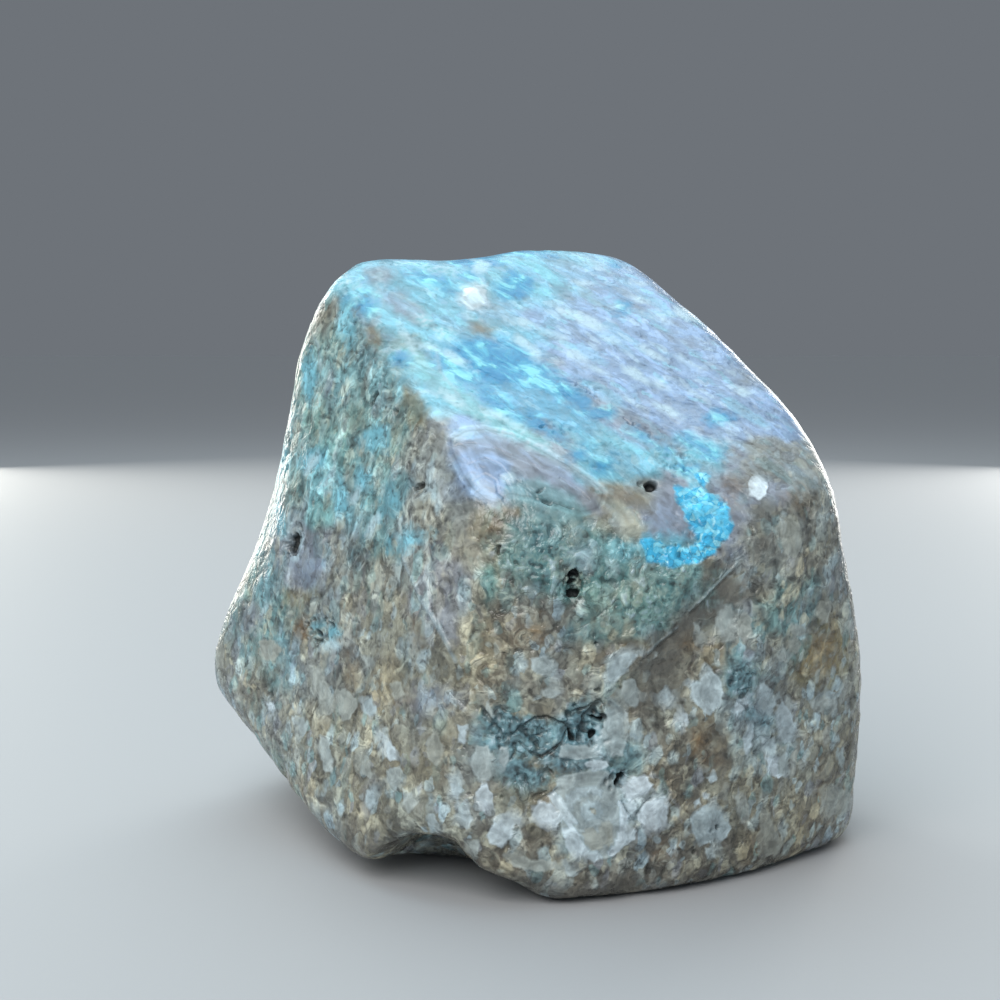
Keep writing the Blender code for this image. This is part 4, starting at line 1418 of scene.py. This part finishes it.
def add_creases(tree, at):
    """Where the figure is creased and how strongly, for its fine relief, its painted crevice shade and its
    painted crest highlights: less in calm patches, on the roof and in clasts.
    """
    stir = add(tree, "MapRange", {"Value": at["calm"], "To Min": 1.0, "To Max": 0.2})
    roof_calm = add(tree, "MapRange", {"Value": at["roof"], "To Min": 1.0, "To Max": 0.42})
    stir = add(tree, "Math", {0: stir, 1: roof_calm}, operation="MULTIPLY")
    even = add(tree, "MapRange", {"Value": at["bulk"], "From Max": 0.3, "To Min": 1.0, "To Max": 0.3})
    at["stir"] = add(tree, "Math", {0: stir, 1: even}, operation="MULTIPLY")
    here = add(tree, "MapRange", {"Value": at["swing"], "From Min": 0.42, "From Max": 0.60, "To Min": 0.2})
    at["here"] = add(tree, "Math", {0: here, 1: at["stir"]}, operation="MULTIPLY")
    wave = add(tree, "Math", {0: at["figure"], 1: CREVICES}, operation="MULTIPLY")
    wave = add(tree, "Math", {0: wave}, operation="SINE")
    at["wave"] = add(tree, "Math", {0: wave}, operation="ABSOLUTE")


def paint_crease_shade(tree, at, colour):
    """Painted shade darkens crevices that follow the figure's contours, cut in here and polished away there,
    and a painted highlight makes their crests pale.
    """
    crevice_shade = add(tree, "MapRange", {"Value": at["wave"], "From Max": 0.30, "To Min": 1.0, "To Max": 0.0})
    crevice_shade = add(tree, "Math", {0: crevice_shade, 1: at["here"]}, operation="MULTIPLY")
    colour = toned(tree, colour, crevice_shade, "crevice_shade")
    crest = add(tree, "MapRange", {"Value": at["wave"], "From Min": 0.45, "From Max": 0.95})
    crest = add(tree, "Math", {0: crest, 1: at["here"]}, operation="MULTIPLY")
    crest = add(tree, "Math", {0: crest, 1: at["specks"]}, operation="MULTIPLY")
    return toned(tree, colour, crest, "crest")


def clast_colour(tree, at, within, settings):
    """Chalcedony, whiter at a clast's rim, cloudy and ringed within."""
    milky = run_through(tree, "milk", at["milk"], settings)
    heart = add(tree, "MapRange", {"Value": within, "From Min": 0.1, "From Max": 0.9})
    milky = toned(tree, milky, heart, "clast heart")
    arcs = add(tree, "Math", {0: within, 1: CLAST_ARCS}, operation="MULTIPLY")
    arcs = add(tree, "Math", {0: arcs}, operation="SINE")
    milky = toned(tree, milky, arcs, "clast arc")
    milky = toned(tree, milky, at["clouds"], "clast cloud")
    flaws = add(tree, "MapRange", {"Value": at["crumb"], "From Min": 0.40, "From Max": 0.60})
    return toned(tree, milky, flaws, "clast flaw")


def lay_clasts(tree, at, colour, settings):
    """Pale clasts, here crisp, there fading into the ground, then white flecks and thin light veins, which
    along the diagonal ridge are a painted highlight.
    """
    within, share = (
        add(tree, "Math", {0: at["edge"], 1: CLAST_WANDER, 2: at[name]}, operation="MULTIPLY_ADD")
        for name in ("pale", "bulk")
    )
    colour = toned(tree, colour, line_at(tree, within, -0.10, 0.14), "clast ring")
    span = {"From Min": 0.40, "From Max": 0.58, "To Min": 11.0, "To Max": 1.3}
    crisp = add(tree, "MapRange", {"Value": at["swing"], **span})
    share = add(tree, "Math", {0: share, 1: crisp}, operation="MULTIPLY")
    share = add(tree, "MapRange", {"Value": share, "From Min": -1.0, "From Max": 1.0, "To Max": 0.86})
    milky = clast_colour(tree, at, within, settings)
    colour = add(tree, "Mix", {"Factor": share, "A": colour, "B": milky}, data_type="RGBA")
    colour = lay_over(tree, at, colour, settings.frost, "white")
    # The veins' pale colour, and along the diagonal ridge a painted highlight on its lit edge.
    return lay_over(tree, at, colour, settings.clast, "vein")


def darken_pits(tree, at, colour, settings):
    """Pinholes, above all in stirred ground, then painted shade inside the pits, seams and hollows, darker
    the deeper they are.
    """
    span = {"From Min": 0.32, "From Max": 0.40, "To Min": 1.0, "To Max": 0.0}
    pinned = add(tree, "MapRange", {"Value": at["grit"], **span})
    pinned = add(tree, "Math", {0: pinned, 1: at["stir"]}, operation="MULTIPLY")
    colour = toned(tree, colour, pinned, "pinhole")
    # Painted shade, darkest in the deepest pits, seams and hollows.
    span = {"From Min": 0.03, "From Max": 0.55, "To Max": 0.95}
    at["dark"] = add(tree, "MapRange", {"Value": at["depth"], **span})
    return add(tree, "Mix", {"Factor": at["dark"], "A": colour, "B": settings.dark}, data_type="RGBA")


def fine_relief(tree, at):
    """Relief too fine for the mesh, in millimetres: the figure's waves, and each noise about its middle."""
    height = add(tree, "Math", {0: at["wave"], 1: WAVE_RELIEF}, operation="MULTIPLY")
    height = add(tree, "Math", {0: height, 1: at["here"]}, operation="MULTIPLY")
    broad = add(tree, "Math", {0: at["figure"], 1: NOISE_RELIEF["figure"]}, operation="MULTIPLY")
    for name in ("grit", "crumb"):
        inputs = {0: at[name], 1: NOISE_RELIEF[name], 2: broad}
        broad = add(tree, "Math", inputs, operation="MULTIPLY_ADD")
    middle = sum(NOISE_RELIEF.values()) / 2
    broad = add(tree, "Math", {0: broad, 1: middle}, operation="SUBTRACT")
    return add(tree, "Math", {0: broad, 1: at["stir"], 2: height}, operation="MULTIPLY_ADD")


def breccia_finish(settings):
    """Tumble-polished shattuckite breccia.

    Clasts of pale chalcedony lie in a tan to brown ground, under a roof of lavender-blue chalcedony
    with azure and turquoise crusts. Tumbling with fine polish gives a wet, softly blurred gloss, a
    little duller where the figure is pale and dull in the pits.
    """
    material = bpy.data.materials.new("tumble_polished_shattuckite_breccia")
    material.use_nodes = True
    tree = material.node_tree
    shader = tree.nodes["Principled BSDF"]
    shader.inputs["IOR"].default_value = 1.54
    shader.inputs["Metallic"].default_value = 0.0

    at = noises_over(tree)
    colour = lay_fragments(tree, at, settings)
    colour = crumble(tree, at, colour, settings)
    colour = vary(tree, at, colour)
    colour = lay_grounds(tree, at, colour, settings)
    colour = lay_blues(tree, at, colour, settings)
    colour = band_lens(tree, at, colour)
    add_creases(tree, at)
    # Painted shade in the figure's crevices and painted highlights on its crests.
    colour = paint_crease_shade(tree, at, colour)
    colour = lay_clasts(tree, at, colour, settings)
    # Painted shade inside pits, seams and hollows.
    colour = darken_pits(tree, at, colour, settings)
    tree.links.new(colour.outputs[2], shader.inputs["Base Color"])

    polish = dict(zip(("To Min", "To Max"), POLISH))
    dulled = add(tree, "MapRange", {"Value": at["clouds"], **polish})
    gloss = add(tree, "Math", {0: at["dark"], 1: PIT_DULLNESS, 2: dulled}, operation="MULTIPLY_ADD")
    tree.links.new(gloss.outputs[0], shader.inputs["Roughness"])
    bump = add(tree, "Bump", {"Strength": 1.0, "Distance": MM, "Height": fine_relief(tree, at)})
    tree.links.new(bump.outputs["Normal"], shader.inputs["Normal"])
    return material


class OBJECT_OT_add_polished_stone(bpy.types.Operator):
    """Add the polished stone in place of the frame's plain one"""

    bl_idname = "object.add_polished_stone"
    bl_label = "Polished stone"

    def execute(self, context):
        settings = context.scene.stone_settings
        mesh = worn_stone(tree_of(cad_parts[STONE]), settings)
        mesh.materials.append(breccia_finish(settings))
        stone = bpy.data.objects.new(DRESSED, mesh)
        context.scene.collection.objects.link(stone)
        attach(stone, BODY)
        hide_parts(STONE)
        return {"FINISHED"}


BOARD_TOOTH = 1400.0  # bumps in each metre of the painted board
AIM = Vector((0.0, 0.0, 0.03))  # what the lights point at
SoftBox = namedtuple("SoftBox", "name place width height power colour")
SOFT_BOXES = (  # power is the name of the setting that it follows
    SoftBox("top_soft_box", (-0.04, 0.11, 0.36), 0.46, 0.40, "top_power", (0.74, 0.93, 1.0)),
    SoftBox("front_soft_box", (-0.13, -0.31, 0.34), 0.34, 0.34, "front_power", (1.0, 0.98, 0.95)),
    SoftBox("left_soft_box", (-0.23, 0.36, 0.10), 0.14, 0.30, "side_power", (1.0, 0.97, 0.88)),
    SoftBox("right_soft_box", (0.23, 0.36, 0.10), 0.14, 0.30, "side_power", (1.0, 0.98, 0.92)),
)


class StudioSettings(bpy.types.PropertyGroup):
    """The floor and the lights."""

    floor_reach: FloatProperty(
        name="Floor reach", description="Half the floor's side", default=2.5, unit="LENGTH"
    )
    floor_colour: tint("Floor", "Pale matt board", "#acaeb1")
    sky_colour: tint("Surroundings", "Even studio light from all round", "#dde6ee")
    backdrop_colour: tint("Backdrop", "What shows behind the floor", "#6e7379")
    sky_strength: FloatProperty(name="Surroundings", description="Strength of that light", default=0.44)
    top_power: FloatProperty(
        name="Top light", description="Power of the light overhead", default=1.0, unit="POWER"
    )
    front_power: FloatProperty(
        name="Front light", description="Power of the light in front", default=1.65, unit="POWER"
    )
    side_power: FloatProperty(
        name="Side lights", description="Power of each light behind", default=0.7, unit="POWER"
    )


def hang(soft_box, settings):
    """Hang a soft box, which lights the stone but isn't seen itself."""
    data = bpy.data.lights.new(soft_box.name, "AREA")
    data.shape = "RECTANGLE"
    data.size, data.size_y = soft_box.width, soft_box.height
    data.energy = getattr(settings, soft_box.power)
    data.color = soft_box.colour
    box = bpy.data.objects.new(soft_box.name, data)
    box.location = soft_box.place
    box.rotation_euler = (AIM - Vector(soft_box.place)).to_track_quat("-Z", "Y").to_euler()
    box.visible_camera = False
    bpy.context.scene.collection.objects.link(box)


def surroundings(settings):
    """Even light from all round, with a plain backdrop where the camera looks past the floor."""
    world = bpy.data.worlds.new("studio_surroundings")
    world.use_nodes = True
    tree = world.node_tree
    light = tree.nodes["Background"]
    light.inputs["Color"].default_value = settings.sky_colour
    light.inputs["Strength"].default_value = settings.sky_strength
    backdrop = add(tree, "Background", {"Color": settings.backdrop_colour, "Strength": 1.0})
    seen = add(tree, "LightPath", {}).outputs["Is Camera Ray"]
    both = add(tree, "MixShader", {0: seen, 1: light, 2: backdrop})
    tree.links.new(both.outputs["Shader"], tree.nodes["World Output"].inputs["Surface"])
    return world


def front_camera():
    """The camera, at the angle of the front view."""
    lens = bpy.data.cameras.new("front_camera")
    lens.lens, lens.sensor_width = LENS_MM, SENSOR_MM
    lens.clip_start = 0.01
    camera = bpy.data.objects.new("front_camera", lens)
    camera.location = VIEW_PLACE
    camera.rotation_euler = Euler((math.radians(90 - VIEW_PITCH), 0, 0))
    bpy.context.scene.collection.objects.link(camera)
    return camera


def board_finish(settings):
    """Matt painted board: pale and even, with a faint tooth."""
    material = bpy.data.materials.new("matt_painted_board")
    material.use_nodes = True
    tree = material.node_tree
    shader = tree.nodes["Principled BSDF"]
    shader.inputs["Base Color"].default_value = settings.floor_colour
    shader.inputs["Roughness"].default_value = 0.7
    place = add(tree, "TexCoord", {}).outputs["Object"]
    tooth = add(tree, "TexNoise", {"Vector": place, "Scale": BOARD_TOOTH, "Detail": 2.0})
    bump = add(tree, "Bump", {"Strength": 0.1, "Distance": 0.1 * MM, "Height": tooth})
    tree.links.new(bump.outputs["Normal"], shader.inputs["Normal"])
    return material


class SCENE_OT_add_studio(bpy.types.Operator):
    """Add the pale floor, the soft lights and the camera"""

    bl_idname = "scene.add_stone_studio"
    bl_label = "Studio"

    def execute(self, context):
        settings = context.scene.studio_settings
        shape = bmesh.new()
        bmesh.ops.create_grid(shape, x_segments=1, y_segments=1, size=settings.floor_reach)
        mesh = bpy.data.meshes.new("studio_floor")
        shape.to_mesh(mesh)
        shape.free()
        mesh.materials.append(board_finish(settings))
        floor = bpy.data.objects.new("studio_floor", mesh)
        context.scene.collection.objects.link(floor)
        context.scene.world = surroundings(settings)
        for soft_box in SOFT_BOXES:
            hang(soft_box, settings)
        context.scene.camera = front_camera()
        context.scene.view_settings.view_transform = "Standard"
        return {"FINISHED"}


class VIEW3D_PT_stone(bpy.types.Panel):
    """The stone's pieces and their settings"""

    bl_idname = "VIEW3D_PT_stone"
    bl_label = "Shattuckite stone"
    bl_space_type = "VIEW_3D"
    bl_region_type = "UI"
    bl_category = "Stone"

    def draw(self, context):
        for settings, operator in (
            (context.scene.stone_settings, OBJECT_OT_add_polished_stone),
            (context.scene.studio_settings, SCENE_OT_add_studio),
        ):
            box = self.layout.box()
            box.operator(operator.bl_idname)
            for name in settings.__annotations__:
                box.prop(settings, name)


CLASSES = (
    StoneSettings, StudioSettings, OBJECT_OT_add_polished_stone, SCENE_OT_add_studio, VIEW3D_PT_stone,
)


def register():
    for part in CLASSES:
        bpy.utils.register_class(part)
    bpy.types.Scene.stone_settings = PointerProperty(type=StoneSettings)
    bpy.types.Scene.studio_settings = PointerProperty(type=StudioSettings)


def unregister():
    del bpy.types.Scene.studio_settings
    del bpy.types.Scene.stone_settings
    for part in reversed(CLASSES):
        bpy.utils.unregister_class(part)


def main():
    """Make everything."""
    register()
    bpy.ops.object.add_polished_stone()
    bpy.ops.scene.add_stone_studio()


if __name__ == "__main__":
    main()
